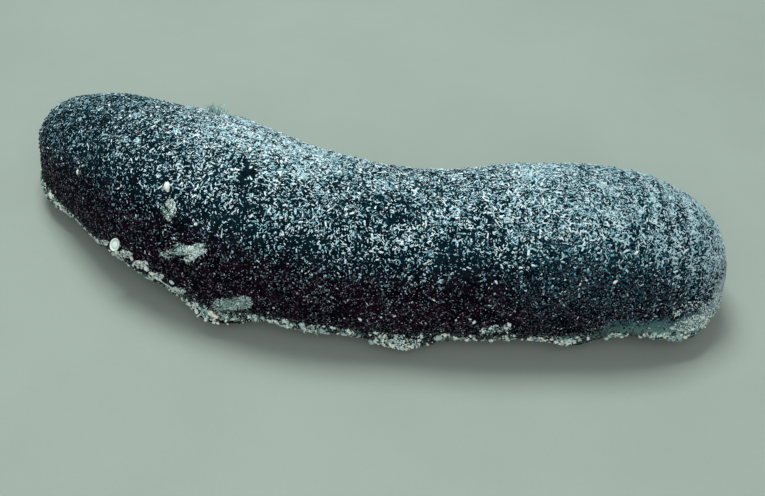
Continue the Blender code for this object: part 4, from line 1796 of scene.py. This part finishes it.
@dataclass
class Debris(Layer):
    """What has settled on the animal here and there: heaps of silt, chips, splinters and a tuft of weed.

    A chip is its pixel, its width in pixels and its tone. A splinter is its pixel, its length in pixels, its
    slope in degrees and its thickness. A tuft of weed is its pixel and its number of fibres.
    """

    clumps: tuple[Clump, ...] = (
        Clump(((171, 204, 4.5, 5), (173.5, 211, 2.6, 5), (169, 217, 2.6, 4)), 330, 16, 0.0018, 0.68),
        Clump(((164, 209, 3.5, 6), (169, 213, 4, 6)), 80, 10, 0.0009, 0.30),
        Clump(
            ((203, 251, 4, 2.6), (197, 252, 5.5, 4.4), (193, 256, 4, 3.6), (191, 248, 5, 2.4)),
            460, 40, 0.0018, 0.84,
        ),
        Clump(((184, 250, 7.5, 4.6), (188, 259, 4, 3), (199, 246, 6, 2.4)), 330, 60, 0.0012, 0.54),
        Clump(((167, 254, 6, 4.4), (176, 252, 6, 4), (179, 244, 4, 2.4)), 150, 40, 0.0009, 0.44),
        Clump(((222, 304, 10, 6), (243, 302, 10, 6.4), (233, 304, 11, 6)), 820, 380, 0.0014, 0.47),
        Clump(((238, 303, 2.5, 2), (246, 299, 4, 2.5)), 30, 0, 0.0018, 0.80),
        Clump(((281, 325, 11, 7),), 80, 10, 0.0009, 0.60),
        Clump(((315, 331, 14, 7), (345, 339, 9, 4)), 240, 30, 0.0010, 0.60),
        Clump(((404, 345, 17, 7),), 260, 10, 0.0008, 0.84),
        Clump(((484, 332, 5, 4), (497, 329, 9, 4), (508, 329, 4, 4)), 110, 6, 0.0006, 0.74),
        Clump(
            ((684, 326, 10, 6), (696, 322, 10, 8), (708, 314, 10, 8), (718, 300, 6, 9)),
            520, 50, 0.0011, 0.86,
        ),
        Clump(((676, 312, 6, 4), (692, 305, 12, 4), (712, 304, 9, 4)), 110, 14, 0.0009, 0.84),
        Clump(((102, 242, 8, 3), (124, 254, 9, 3.6), (141, 264, 9, 4)), 400, 26, 0.0010, 0.92),
        Clump(((156, 276, 8, 3.5), (176, 291, 10, 4), (192, 305, 7, 4)), 380, 40, 0.0010, 0.86),
        Clump(((213, 110.5, 6, 2.4), (222, 112.5, 6, 2.4)), 150, 30, 0.0034, 0.56),
    )
    bits: tuple[tuple[float, float, float, float], ...] = (
        (168, 187, 9, 0.97), (117, 251, 6, 0.97), (124, 251, 5, 0.9), (132, 258, 6, 0.95),
        (140, 262, 5, 0.97), (147, 268, 7, 0.95), (152, 273, 6, 0.97), (138, 267, 4, 0.9),
        (106, 244, 5, 0.85), (98, 239, 4, 0.8), (90, 234, 4, 0.75), (160, 279, 5, 0.9), (172, 282, 6, 0.8),
        (183, 298, 5, 0.8), (190, 304, 5, 0.85), (197, 311, 6, 0.9), (206, 319, 5, 0.95),
        (214, 322, 5, 0.9), (78, 172, 5, 0.97), (83, 166, 3, 0.8), (250, 150, 6, 0.95), (273, 320, 5, 0.93),
        (285, 321, 5, 0.9), (302, 324, 7, 0.75), (322, 330, 8, 0.6), (332, 327, 4, 0.95),
        (300, 337, 5, 0.7), (358, 341, 8, 0.6), (372, 341, 9, 0.6), (438, 337, 9, 0.66), (467, 339, 6, 1.0),
        (474, 322, 5, 0.93), (470, 319, 3, 0.9), (390, 344, 4, 0.93), (398, 350, 4, 0.93),
        (404, 341, 4, 0.9), (412, 347, 4, 0.9), (419, 340, 4, 0.9), (395, 338, 3, 0.9), (427, 350, 4, 0.93),
        (483, 331, 4, 0.9), (490, 328, 4, 0.93), (509, 324, 5, 0.93), (507, 328, 4, 0.85),
        (562, 341, 5, 1.0), (568, 343, 5, 0.85), (588, 338, 5, 0.93), (615, 282, 5, 1.0),
        (636, 253, 5, 0.98), (632, 338, 4, 0.7), (655, 333, 5, 0.75), (672, 328, 5, 0.8),
        (702, 317, 6, 0.85), (454, 180, 4, 0.9), (501, 217, 4, 0.93), (340, 172, 4, 0.98),
        (305, 178, 5, 0.6), (575, 175, 4, 0.93), (232, 170, 4, 0.9), (196, 224, 4, 0.93),
        (360, 319, 4, 0.93), (324, 326, 3, 0.9), (381, 317, 3, 0.85), (456, 320, 3, 0.93),
        (434, 300, 3, 0.93),
    )
    splinters: tuple[tuple[float, float, float, float, float], ...] = (
        (165.0, 283.0, 24.0, -33.0, 0.00050), (200.0, 314.0, 12.0, 40.0, 0.00040),
        (205.0, 310.0, 10.0, 45.0, 0.00034), (428.0, 262.0, 9.0, 30.0, 0.00030),
        (300.0, 178.0, 8.0, 60.0, 0.00030), (330.0, 334.0, 9.0, -30.0, 0.00030),
        (498.0, 224.0, 10.0, -60.0, 0.00032), (420.0, 335.0, 8.0, 60.0, 0.00030),
        (222.0, 233.0, 9.0, 80.0, 0.00032),
    )
    weed: tuple[tuple[float, float, int], ...] = ((213.0, 111.0, 120), (221.0, 112.0, 90), (66.0, 106.0, 8))
    pixel: float = 0.00048
    bead_size: Pair = (0.00045, 0.00115)
    bead_shares: Pair = (0.6, 1.0)
    fibre_length: Pair = (0.0008, 0.0020)
    fibre_radius: float = 0.00017
    fibre_sink: float = 0.0002
    fibre_leans: Pair = (0.3, 1.0)
    fibre_bends: Pair = (0.2, 0.9)
    fibre_droop: float = 0.35
    turf_lean: float = 1.1
    turf_paler: float = 0.12
    weed_length: Pair = (0.0034, 0.0062)
    weed_lean: float = 0.6
    weed_tone: float = 0.52
    weed_spread: Pair = (3.2, 1.4)
    tone_limits: Pair = (0.05, 0.95)
    splinter_tone: float = 0.9
    far_chips: int = 36
    far_chips_deg: Pair = (105.0, 25.0)
    far_chip_width: Pair = (4.0, 8.0)
    far_chip_tone: Pair = (0.4, 0.95)
    chip_breadth: Pair = (0.5, 0.8)
    seed: int = 41

    def build(self) -> None:
        """Places everything that has settled on the skin."""
        self.beads = Swarm("silt_heaps", SmallShape.pebble())
        self.threads = Swarm("turf_fibres", SmallShape.rod(3, 4, 0.35))
        for clump in self.clumps:
            self._heap(clump)
        for x, y, count in self.weed:
            pixels = (x, y) + self.draw.normal(scale=self.weed_spread, size=(count, 2))
            self._sprout(self.skin.seats_at(pixels), self.weed_length, self.weed_tone, self.weed_lean)
        for swarm in (self.beads, self.threads, self._chips()):
            self.mount(swarm, GRAVEL_FINISH)
        self.mount(self._splinters(), SHELL_FINISH)

    def _heap(self, clump: Clump) -> None:
        """Heaps one clump of beads and fibres, highest and palest at its middle."""
        draw = self.draw
        rows = np.array(clump.ellipses)
        areas = rows[:, 2] * rows[:, 3]
        picked = draw.choice(len(rows), clump.beads, p=areas / areas.sum())
        turn = draw.uniform(0.0, 2 * math.pi, clump.beads)
        out = np.sqrt(draw.uniform(size=clump.beads))
        pixels = rows[picked, :2] + rows[picked, 2:] * (out * np.stack([np.cos(turn), np.sin(turn)])).T
        seats = self.skin.seats_at(pixels)
        count = len(seats)
        rise = clump.heap * (1.0 - out[:count] ** 2) * draw.uniform(0.0, 1.0, count)
        lengths = draw.uniform(*self.bead_size, count)
        sizes = lengths[:, None] * draw.uniform(*self.bead_shares, (count, 3))
        tones = clump.tone + 0.34 * draw.normal(size=count) + 0.20 * (rise / clump.heap - 0.3)
        self.beads.scatter(seats.raised(rise), sizes, np.clip(tones, *self.tone_limits), draw, tilt=0.5)
        if clump.fibres:
            roots = seats.raised(0.6 * rise).only(draw.integers(0, count, clump.fibres))
            self._sprout(roots, self.fibre_length, clump.tone + self.turf_paler, self.turf_lean)

    def _sprout(self, roots: Seats, lengths: Pair, tone: float, spread: float) -> None:
        """Grows bent fibres from their roots.

        Args:
            roots: Where they grow.
            lengths: The shortest and the longest.
            tone: Their tone at the middle.
            spread: How far they lean, as a slope.
        """
        draw, count = self.draw, len(roots)
        turns = roots.frames(draw, 0.1)
        long = draw.uniform(*lengths, count)[:, None]
        lean = spread * draw.uniform(*self.fibre_leans, count)[:, None]
        bend = draw.uniform(*self.fibre_bends, count)[:, None]
        x, y, up = self.threads.shape.corners.T
        along = up * long
        corners = np.stack([
            x * self.fibre_radius + along * lean,
            y * self.fibre_radius + bend * up ** 2 * long * 0.5,
            along * (1.0 - self.fibre_droop * bend * up) - self.fibre_sink,
        ], axis=2)
        tones = tone + 0.10 * draw.normal(size=(count, 1)) + 0.15 * (up - 0.5)
        self.threads.place(roots, corners, turns, np.clip(tones, *self.tone_limits))

    def _chips(self) -> Swarm:
        """Sets single chips where the photograph shows them, and a few like them on the far side.

        Returns:
            The chips.
        """
        skin, draw = self.skin, self.draw
        found = [skin.seats_at(np.array([bit[:2]])) for bit in self.bits]
        rows = np.array([bit for bit, seat in zip(self.bits, found) if len(seat)])
        far = skin.spread(self.far_chips, bell(skin.down_deg, *self.far_chips_deg) * ~skin.near, draw)
        seats = Seats.gathered([*found, far])
        across = np.concatenate([rows[:, 2], draw.uniform(*self.far_chip_width, len(far))]) * self.pixel
        tones = np.concatenate([rows[:, 3], draw.uniform(*self.far_chip_tone, len(far))])
        sizes = self.stones(across, self.chip_breadth)
        chips = Swarm("coral_chips", SmallShape.pebble(2))
        chips.scatter(seats.raised(0.15 * sizes[:, 2]), sizes, tones, draw, tilt=0.1, ragged=0.27)
        return chips

    def _splinters(self) -> Swarm:
        """Lays thin splinters along the skin, each turned as the photograph shows it.

        Returns:
            The splinters.
        """
        swarm = Swarm("lime_splinters", SmallShape.rod(5, 2, 0.4))
        right, up, _ = self.skin.camera.axes
        x, y, along = swarm.shape.corners.T
        for column, row, across, slope_deg, thick in self.splinters:
            seat = self.skin.seats_at(np.array([[column, row]]))
            if not len(seat):
                continue
            slope, out = math.radians(slope_deg), seat.normals[0]
            way = math.cos(slope) * right + math.sin(slope) * up
            way = unit(way - out * np.dot(way, out))
            middle = seat.points[0] + out * 0.5 * thick
            place = (
                middle + np.outer(along - 0.5, way) * across * self.pixel
                + np.outer(x, np.cross(out, way)) * thick + np.outer(y, out) * thick
            )
            swarm.add_one(place, np.array([self.splinter_tone]), seat.unwrap)
        return swarm


@dataclass
class ShellDisc(Layer):
    """A small off-white disc of lime with a raised rim and a ring, low on the near flank."""

    pixel: Pair = (118.5, 242.5)
    radius: float = 0.0032
    steps: int = 28
    profile: Table = (
        (0.0, 0.20), (0.30, 0.21), (0.46, 0.18), (0.54, 0.08), (0.64, 0.04), (0.72, 0.08), (0.80, 0.20),
        (0.90, 0.24), (0.97, 0.18), (1.0, 0.06), (0.94, -0.08), (0.0, -0.14),
    )
    stretch: Triple = (0.84, 1.05, 1.0)
    turned_to_camera: float = 0.9
    turned_up: float = 0.9
    stand_off: float = 0.0021
    ring_level: float = 0.03
    ring_height: float = 0.10
    tones: Pair = (0.60, 0.96)

    def build(self) -> None:
        """Turns the disc and sets it on the skin, tipped up and towards the camera."""
        seat = self.skin.seats_at(np.array([self.pixel]))
        swarm = Swarm("shell_disc", SmallShape.turned(self.profile, self.steps), smooth=True)
        corners, up = swarm.shape.corners, np.array([0.0, 0.0, 1.0])
        tipped = self.turned_to_camera * self.skin.camera.axes[2]
        out = unit(seat.normals[0] + tipped + self.turned_up * up)
        side = unit(np.cross(out, up))
        turn = np.stack([side, np.cross(out, side), out], axis=1)
        grown = corners * self.radius * np.array(self.stretch)
        placed = grown @ turn.T + seat.points[0] + seat.normals[0] * self.stand_off
        ring = np.clip((corners[:, 2] - self.ring_level) / self.ring_height, 0.0, 1.0)
        swarm.add_one(placed, self.tones[0] + (self.tones[1] - self.tones[0]) * ring, seat.unwrap)
        self.mount(swarm, SHELL_FINISH)


@dataclass
class TubeFeet(Layer):
    """The crowded tube feet of the flat sole, each a sucker on a short stalk."""

    step: float = 0.0046
    jitter: float = 0.0011
    spread: float = 0.84
    profile: Table = (
        (0.0, 0.04), (0.55, 0.05), (0.8, 0.0), (1.0, 0.06), (0.92, 0.2), (0.6, 0.36), (0.52, 0.7),
        (0.75, 1.0), (0.0, 1.0),
    )
    sides: int = 8
    disc_radius: Pair = (0.00105, 0.00145)
    sink: float = 0.0012
    tallest: float = 0.0036
    mouth_clearance: float = 0.0185
    below_floor: float = 0.01
    tone_fall: float = 2.4
    tone: Pair = (0.5, 1.0)
    seed: int = 53

    def build(self) -> None:
        """Sets the feet from the floor to the sole, except round the mouth."""
        draw = self.draw
        rows = int(self.skin.form.length / self.step)
        places = np.concatenate([self._row(row, rows) for row in range(1, rows)])
        mouth = np.array(self.skin.mouth_frame().translation)
        places = places[np.hypot(*(places[:, :2] - mouth[:2]).T) > self.mouth_clearance]
        seats = self.skin.seats_over(places)
        seats = seats.only(seats.points[:, 2] < self.tallest)
        swarm = Swarm("tube_feet", SmallShape.turned(self.profile, self.sides), smooth=True)
        foot = swarm.shape.corners
        radius = draw.uniform(*self.disc_radius, len(seats))
        sizes = np.stack([radius, radius, seats.points[:, 2] + self.sink], axis=1)
        corners = foot[None] * sizes[:, None, :] + (seats.points * (1.0, 1.0, 0.0))[:, None, :]
        tones = np.clip(1.0 - foot[:, 2] * self.tone_fall, 0.0, 1.0)
        tones = tones * draw.uniform(*self.tone, (len(seats), 1))
        swarm.add(corners, tones, seats.unwrap)
        self.mount(swarm, FOOT_FINISH, Slot.SOLE)

    def _row(self, row: int, rows: int) -> Array:
        """Places a row of feet across the sole.

        Args:
            row: Its number, from the rear.
            rows: How many rows there are.

        Returns:
            A point below each foot, from which the sole is looked for.
        """
        form = self.skin.form
        x, y, heading = (float(value[0]) for value in form.spine_at(np.array([row / rows])))
        columns = int(2 * form.half_width * self.spread / self.step)
        across = (np.arange(columns) - (columns - 1) / 2 + 0.5 * (row % 2)) * self.step
        across = across + self.draw.uniform(-self.jitter, self.jitter, columns)
        along = self.draw.uniform(-self.jitter, self.jitter, columns)
        return np.stack([
            x - math.sin(heading) * across + math.cos(heading) * along,
            y + math.cos(heading) * across + math.sin(heading) * along,
            np.full(columns, -self.below_floor),
        ], axis=1)


@dataclass
class Mouth(Layer):
    """The mouth under the front end: a folded disc in its seat, ringed by branching tentacles."""

    disc_profile: Table = (
        (0.0, 0.0002), (0.0010, 0.0006), (0.0016, 0.0018), (0.0022, 0.0030), (0.0030, 0.0034),
        (0.0040, 0.0030), (0.0052, 0.0024), (0.0068, 0.0022), (0.0084, 0.0014), (0.0096, 0.0002),
        (0.0102, -0.0016), (0.0, -0.0030),
    )
    steps: int = 80
    folds: int = 20
    fold_height: float = 0.00022
    folds_from: Pair = (0.0008, 0.002)
    lip_at: Pair = (0.0028, 0.0012)
    lip_tone: float = 0.6
    disc_unwrap: Pair = (0.5, 0.95)
    tentacles: int = 20
    tentacle_unwrap: Pair = (0.5, 0.96)
    turn_jitter: float = 0.05
    reach_jitter: Pair = (0.96, 1.04)
    root_at: float = 0.0068
    root_level: float = 0.0006
    root_radius: float = 0.00125
    tip_radius: float = 0.00085
    tip_tone: float = 0.25
    reaches: Pair = (0.0128, 0.0150)
    arch: float = 0.00702
    head_level: float = 0.0034
    head_radius: float = 0.0022
    head_lean_deg: float = 68.0
    head_profile: Table = ((0.0, 0.22), (0.45, 0.20), (0.85, 0.10), (1.0, -0.05), (0.7, -0.22), (0.0, -0.28))
    head_steps: int = 18
    head_lobes: int = 6
    head_lobe_depth: float = 0.16
    head_tone: float = 0.45
    outer_knobs: int = 10
    inner_knobs: int = 4
    knob_rings: Pair = (0.82, 0.36)
    knob_levels: Pair = (0.0002, 0.0006)
    inner_turn: float = 0.4
    knob_size: float = 0.00095
    knob_shares: Pair = (0.75, 1.15)
    knob_tones: Pair = (0.4, 1.0)
    floor_clearance: float = 0.0004
    seed: int = 61

    def build(self) -> None:
        """Makes the disc, the stalks and their heads."""
        self.frame_at = np.array(self.skin.mouth_frame())
        plain = SmallShape.turned(self.disc_profile, self.steps)
        radius = plain.polar[0]
        folded = plain.folded(self.folds, self.fold_height, smooth_step(radius, *self.folds_from))
        disc = Swarm("mouth_disc", folded, smooth=True)
        tones = self.lip_tone * bell(radius, *self.lip_at)
        disc.add_one(moved(folded.corners, self.frame_at), tones, np.array([self.disc_unwrap]))
        self.swarms = (
            Swarm("tentacle_stalks", SmallShape.rod(8, 7, 1.0), smooth=True),
            Swarm("tentacle_shields", self._shield(), smooth=True),
            Swarm("tentacle_knobs", SmallShape.pebble(), smooth=True),
        )
        for number in range(self.tentacles):
            self._tentacle(number)
        self.mount(disc, TENTACLE_FINISH, Slot.TENTACLES, ["mouth_tentacles"])
        for swarm in self.swarms:
            self.mount(swarm, TENTACLE_FINISH, Slot.TENTACLES)

    def _shield(self) -> SmallShape:
        """Makes the lobed shield that a tentacle's knobs sit on.

        Returns:
            The shield, one unit in radius.
        """
        plain = SmallShape.turned(self.head_profile, self.head_steps)
        corners = plain.corners.copy()
        lobes = 1.0 - self.head_lobe_depth + self.head_lobe_depth * np.cos(self.head_lobes * plain.polar[1])
        corners[:, :2] *= lobes[:, None]
        return SmallShape(corners, plain.triangles)

    def _tentacle(self, number: int) -> None:
        """Makes one tentacle, clear of the floor.

        Args:
            number: Its place in the ring.
        """
        draw = self.draw
        stalks, shields, knobs = self.swarms
        reach = self.reaches[number % 2] * draw.uniform(*self.reach_jitter)
        turn = 2 * math.pi * (number + 0.5) / self.tentacles
        turn += draw.uniform(-self.turn_jitter, self.turn_jitter)
        spun = np.array(Matrix.Rotation(turn, 3, "Z"))
        tipped = np.array(Matrix.Rotation(math.radians(self.head_lean_deg), 3, "Y"))
        root = (self.root_at, 0.0, self.root_level)
        tip = np.array([reach, 0.0, self.head_level])
        top = ((self.root_at + reach) / 2, 0.0, self.arch)
        shield = shields.shape.corners * self.head_radius @ tipped.T + tip
        parts = (self._stalk(np.array([root, top, tip])), shield, self._knobs() @ tipped.T + tip)
        placed = [moved(part @ spun.T, self.frame_at) for part in parts]
        lowest = min(part[..., 2].min() for part in placed)
        lift = np.array([0.0, 0.0, max(0.0, self.floor_clearance - lowest)])
        stalk, shield, beads = (part + lift for part in placed)
        unwrap = np.array([self.tentacle_unwrap])
        stalks.add_one(stalk, self.tip_tone * stalks.shape.corners[:, 2], unwrap)
        shields.add_one(shield, np.array([self.head_tone]), unwrap)
        knobs.add(beads, draw.uniform(*self.knob_tones, len(beads)), np.repeat(unwrap, len(beads), axis=0))

    def _stalk(self, ends: Array) -> Array:
        """Bends the stalk's rod.

        Args:
            ends: The root, the point that the arch bends towards, and the tip.

        Returns:
            The stalk's corners, in the plane of its own arch.
        """
        rod = self.swarms[0].shape.corners
        along = rod[:, 2:]
        path = (1 - along) ** 2 * ends[0] + 2 * along * (1 - along) * ends[1] + along ** 2 * ends[2]
        way = unit(2 * (1 - along) * (ends[1] - ends[0]) + 2 * along * (ends[2] - ends[1]))
        side = np.array([0.0, 1.0, 0.0])
        radius = self.root_radius + (self.tip_radius - self.root_radius) * along
        return path + rod[:, :1] * radius * side + rod[:, 1:2] * radius * np.cross(way, side)

    def _knobs(self) -> Array:
        """Places a head's knobs in two rings.

        Returns:
            The corners of each knob, before the head is tipped.
        """
        count = self.outer_knobs + self.inner_knobs
        ring = np.arange(count)
        outer = ring < self.outer_knobs
        far = np.where(outer, *self.knob_rings) * self.head_radius
        round_outer = 2 * math.pi * ring / self.outer_knobs
        round_inner = 2 * math.pi * ring / self.inner_knobs + self.inner_turn
        turn = np.where(outer, round_outer, round_inner)
        level = np.where(outer, *self.knob_levels)
        middles = np.stack([far * np.cos(turn), far * np.sin(turn), level], axis=1)
        sizes = self.knob_size * self.draw.uniform(*self.knob_shares, (count, 1, 1))
        return self.swarms[2].shape.corners[None] * sizes + middles[:, None, :]


@dataclass
class Vent(Layer):
    """The vent in the rear tip: a puckered ring with five small teeth of lime."""

    ring_profile: Table = (
        (0.0, -0.0024), (0.0016, -0.0022), (0.0027, -0.0014), (0.0032, 0.0002), (0.0038, 0.0014),
        (0.0047, 0.0019), (0.0057, 0.0017), (0.0066, 0.0008), (0.0071, -0.0006), (0.0066, -0.0026),
        (0.0, -0.0036),
    )
    steps: int = 90
    folds: int = 15
    fold_height: float = 0.00032
    folds_at: Pair = (0.0046, 0.0022)
    lip_at: Pair = (0.0046, 0.0012)
    lip_tone: float = 0.7
    ring_unwrap: Pair = (0.5, 0.01)
    teeth: int = 5
    teeth_turn: float = 0.31
    tooth_at: Triple = (0.0034, 0.0, 0.0004)
    tooth_length: float = 0.0030
    tooth_radii: Pair = (0.00115, 0.00045)
    tooth_sides: int = 12
    tooth_bevel: float = 0.0002
    tooth_flatness: float = 0.62
    tooth_lean_deg: float = 35.0
    tooth_tones: Pair = (0.62, 0.3)

    def build(self) -> None:
        """Makes the ring and its teeth."""
        frame_at = np.array(self.skin.vent_frame())
        unwrap = np.array([self.ring_unwrap])
        plain = SmallShape.turned(self.ring_profile, self.steps)
        radius = plain.polar[0]
        folded = plain.folded(self.folds, self.fold_height, bell(radius, *self.folds_at))
        ring = Swarm("vent_ring", folded, smooth=True)
        ring.add_one(moved(folded.corners, frame_at), self.lip_tone * bell(radius, *self.lip_at), unwrap)
        teeth = Swarm("vent_teeth", self._tooth(), smooth=True)
        tooth = teeth.shape.corners
        lean = Matrix.Rotation(-math.radians(self.tooth_lean_deg), 4, "Y")
        root_tone, more = self.tooth_tones
        for number in range(self.teeth):
            turn = Matrix.Rotation(2 * math.pi * (number + self.teeth_turn) / self.teeth, 4, "Z")
            local = moved(tooth, np.array(turn @ Matrix.Translation(self.tooth_at) @ lean))
            tones = root_tone + more * (tooth[:, 2] / self.tooth_length)
            teeth.add_one(moved(local, frame_at), tones, unwrap)
        self.mount(ring, VENT_FINISH, Slot.VENT, ["anus"])
        self.mount(teeth, SHELL_FINISH, Slot.VENT)

    def _tooth(self) -> SmallShape:
        """Makes a flattened, blunt tooth that stands on the Z axis.

        Returns:
            The tooth.
        """
        shape = bmesh.new()
        bmesh.ops.create_cone(
            shape, cap_ends=True, segments=self.tooth_sides, radius1=self.tooth_radii[0],
            radius2=self.tooth_radii[1], depth=self.tooth_length,
            matrix=Matrix.Translation((0.0, 0.0, self.tooth_length / 2)),
        )
        high = 0.9 * self.tooth_length
        rim = [edge for edge in shape.edges if all(vertex.co.z > high for vertex in edge.verts)]
        bmesh.ops.bevel(
            shape, geom=rim, offset=self.tooth_bevel, offset_type="OFFSET", segments=2, profile=0.5,
            affect="EDGES", material=-1,
        )
        bmesh.ops.scale(shape, vec=(self.tooth_flatness, 1.0, 1.0), verts=shape.verts[:])
        return SmallShape.taken_from(shape)


@dataclass(frozen=True)
class Lamp:
    """A square soft lamp that looks at the animal. Its power is in watts."""

    name: str
    power: float
    size: float
    place: Triple
    colour: Colour
    looks_at: Triple = (0.0, 0.0, 0.03)

    def build(self) -> None:
        """Hangs the lamp."""
        data = bpy.data.lights.new(self.name, "AREA")
        data.energy = self.power
        data.size = self.size
        data.color = self.colour
        lamp = add_object(self.name, data)
        way = Vector(self.looks_at) - Vector(self.place)
        turn = way.to_track_quat("-Z", "Y").to_matrix().to_4x4()
        lamp.matrix_world = Matrix.Translation(self.place) @ turn


@dataclass(frozen=True)
class Studio:
    """The plain pale floor and the soft lights."""

    floor_size: float = 3.0
    floor_squares: int = 8
    lamps: tuple[Lamp, ...] = (
        Lamp("key", 12.0, 0.48, (-0.11, 0.30, 1.20), (0.89, 1.0, 0.99)),
        Lamp("fill", 7.4, 1.1, (0.10, -1.05, 0.88), (0.95, 0.96, 1.0)),
    )
    sky: Colour = (0.78, 0.90, 0.92)
    sky_strength: float = 0.30

    def build(self, shop: Workshop) -> None:
        """Lays the floor, hangs the lights and sets the sky.

        Args:
            shop: Makes the floor's material.
        """
        shape = bmesh.new()
        squares = self.floor_squares
        bmesh.ops.create_grid(shape, x_segments=squares, y_segments=squares, size=self.floor_size / 2)
        mesh = bpy.data.meshes.new("floor")
        shape.to_mesh(mesh)
        shape.free()
        mesh.materials.append(shop.material(FLOOR_FINISH))
        add_object("floor", mesh)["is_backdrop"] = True
        for lamp in self.lamps:
            lamp.build()
        world = bpy.data.worlds.new("sky")
        world.use_nodes = True
        background = world.node_tree.nodes["Background"]
        background.inputs["Color"].default_value = (*self.sky, 1.0)
        background.inputs["Strength"].default_value = self.sky_strength
        bpy.context.scene.world = world
        bpy.context.scene.view_settings.view_transform = "Standard"


def write_sizes() -> None:
    """Gathers the solids' box and the finished model's box."""
    boxes = {"cad": [list(corner) for corner in CAD_BOX], "visual": [list(corner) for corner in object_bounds()]}


def main() -> None:
    """Builds the animal and its studio in order."""
    logging.basicConfig(level=logging.INFO, format="%(name)s %(message)s")
    shop = Workshop()
    camera = PhotoCamera()
    camera.build()
    skin = Skin(BodyForm(), CoatBands(), camera)
    shop.mount(skin.build(), SKIN_FINISH, Slot.SKIN, FLESH_NODES)
    for layer in (SandCoat, Papillae, MarginGravel, Debris, ShellDisc, TubeFeet, Mouth, Vent):
        layer(skin, shop).build()
    Studio().build(shop)
    write_sizes()


if __name__ == "__main__":
    main()
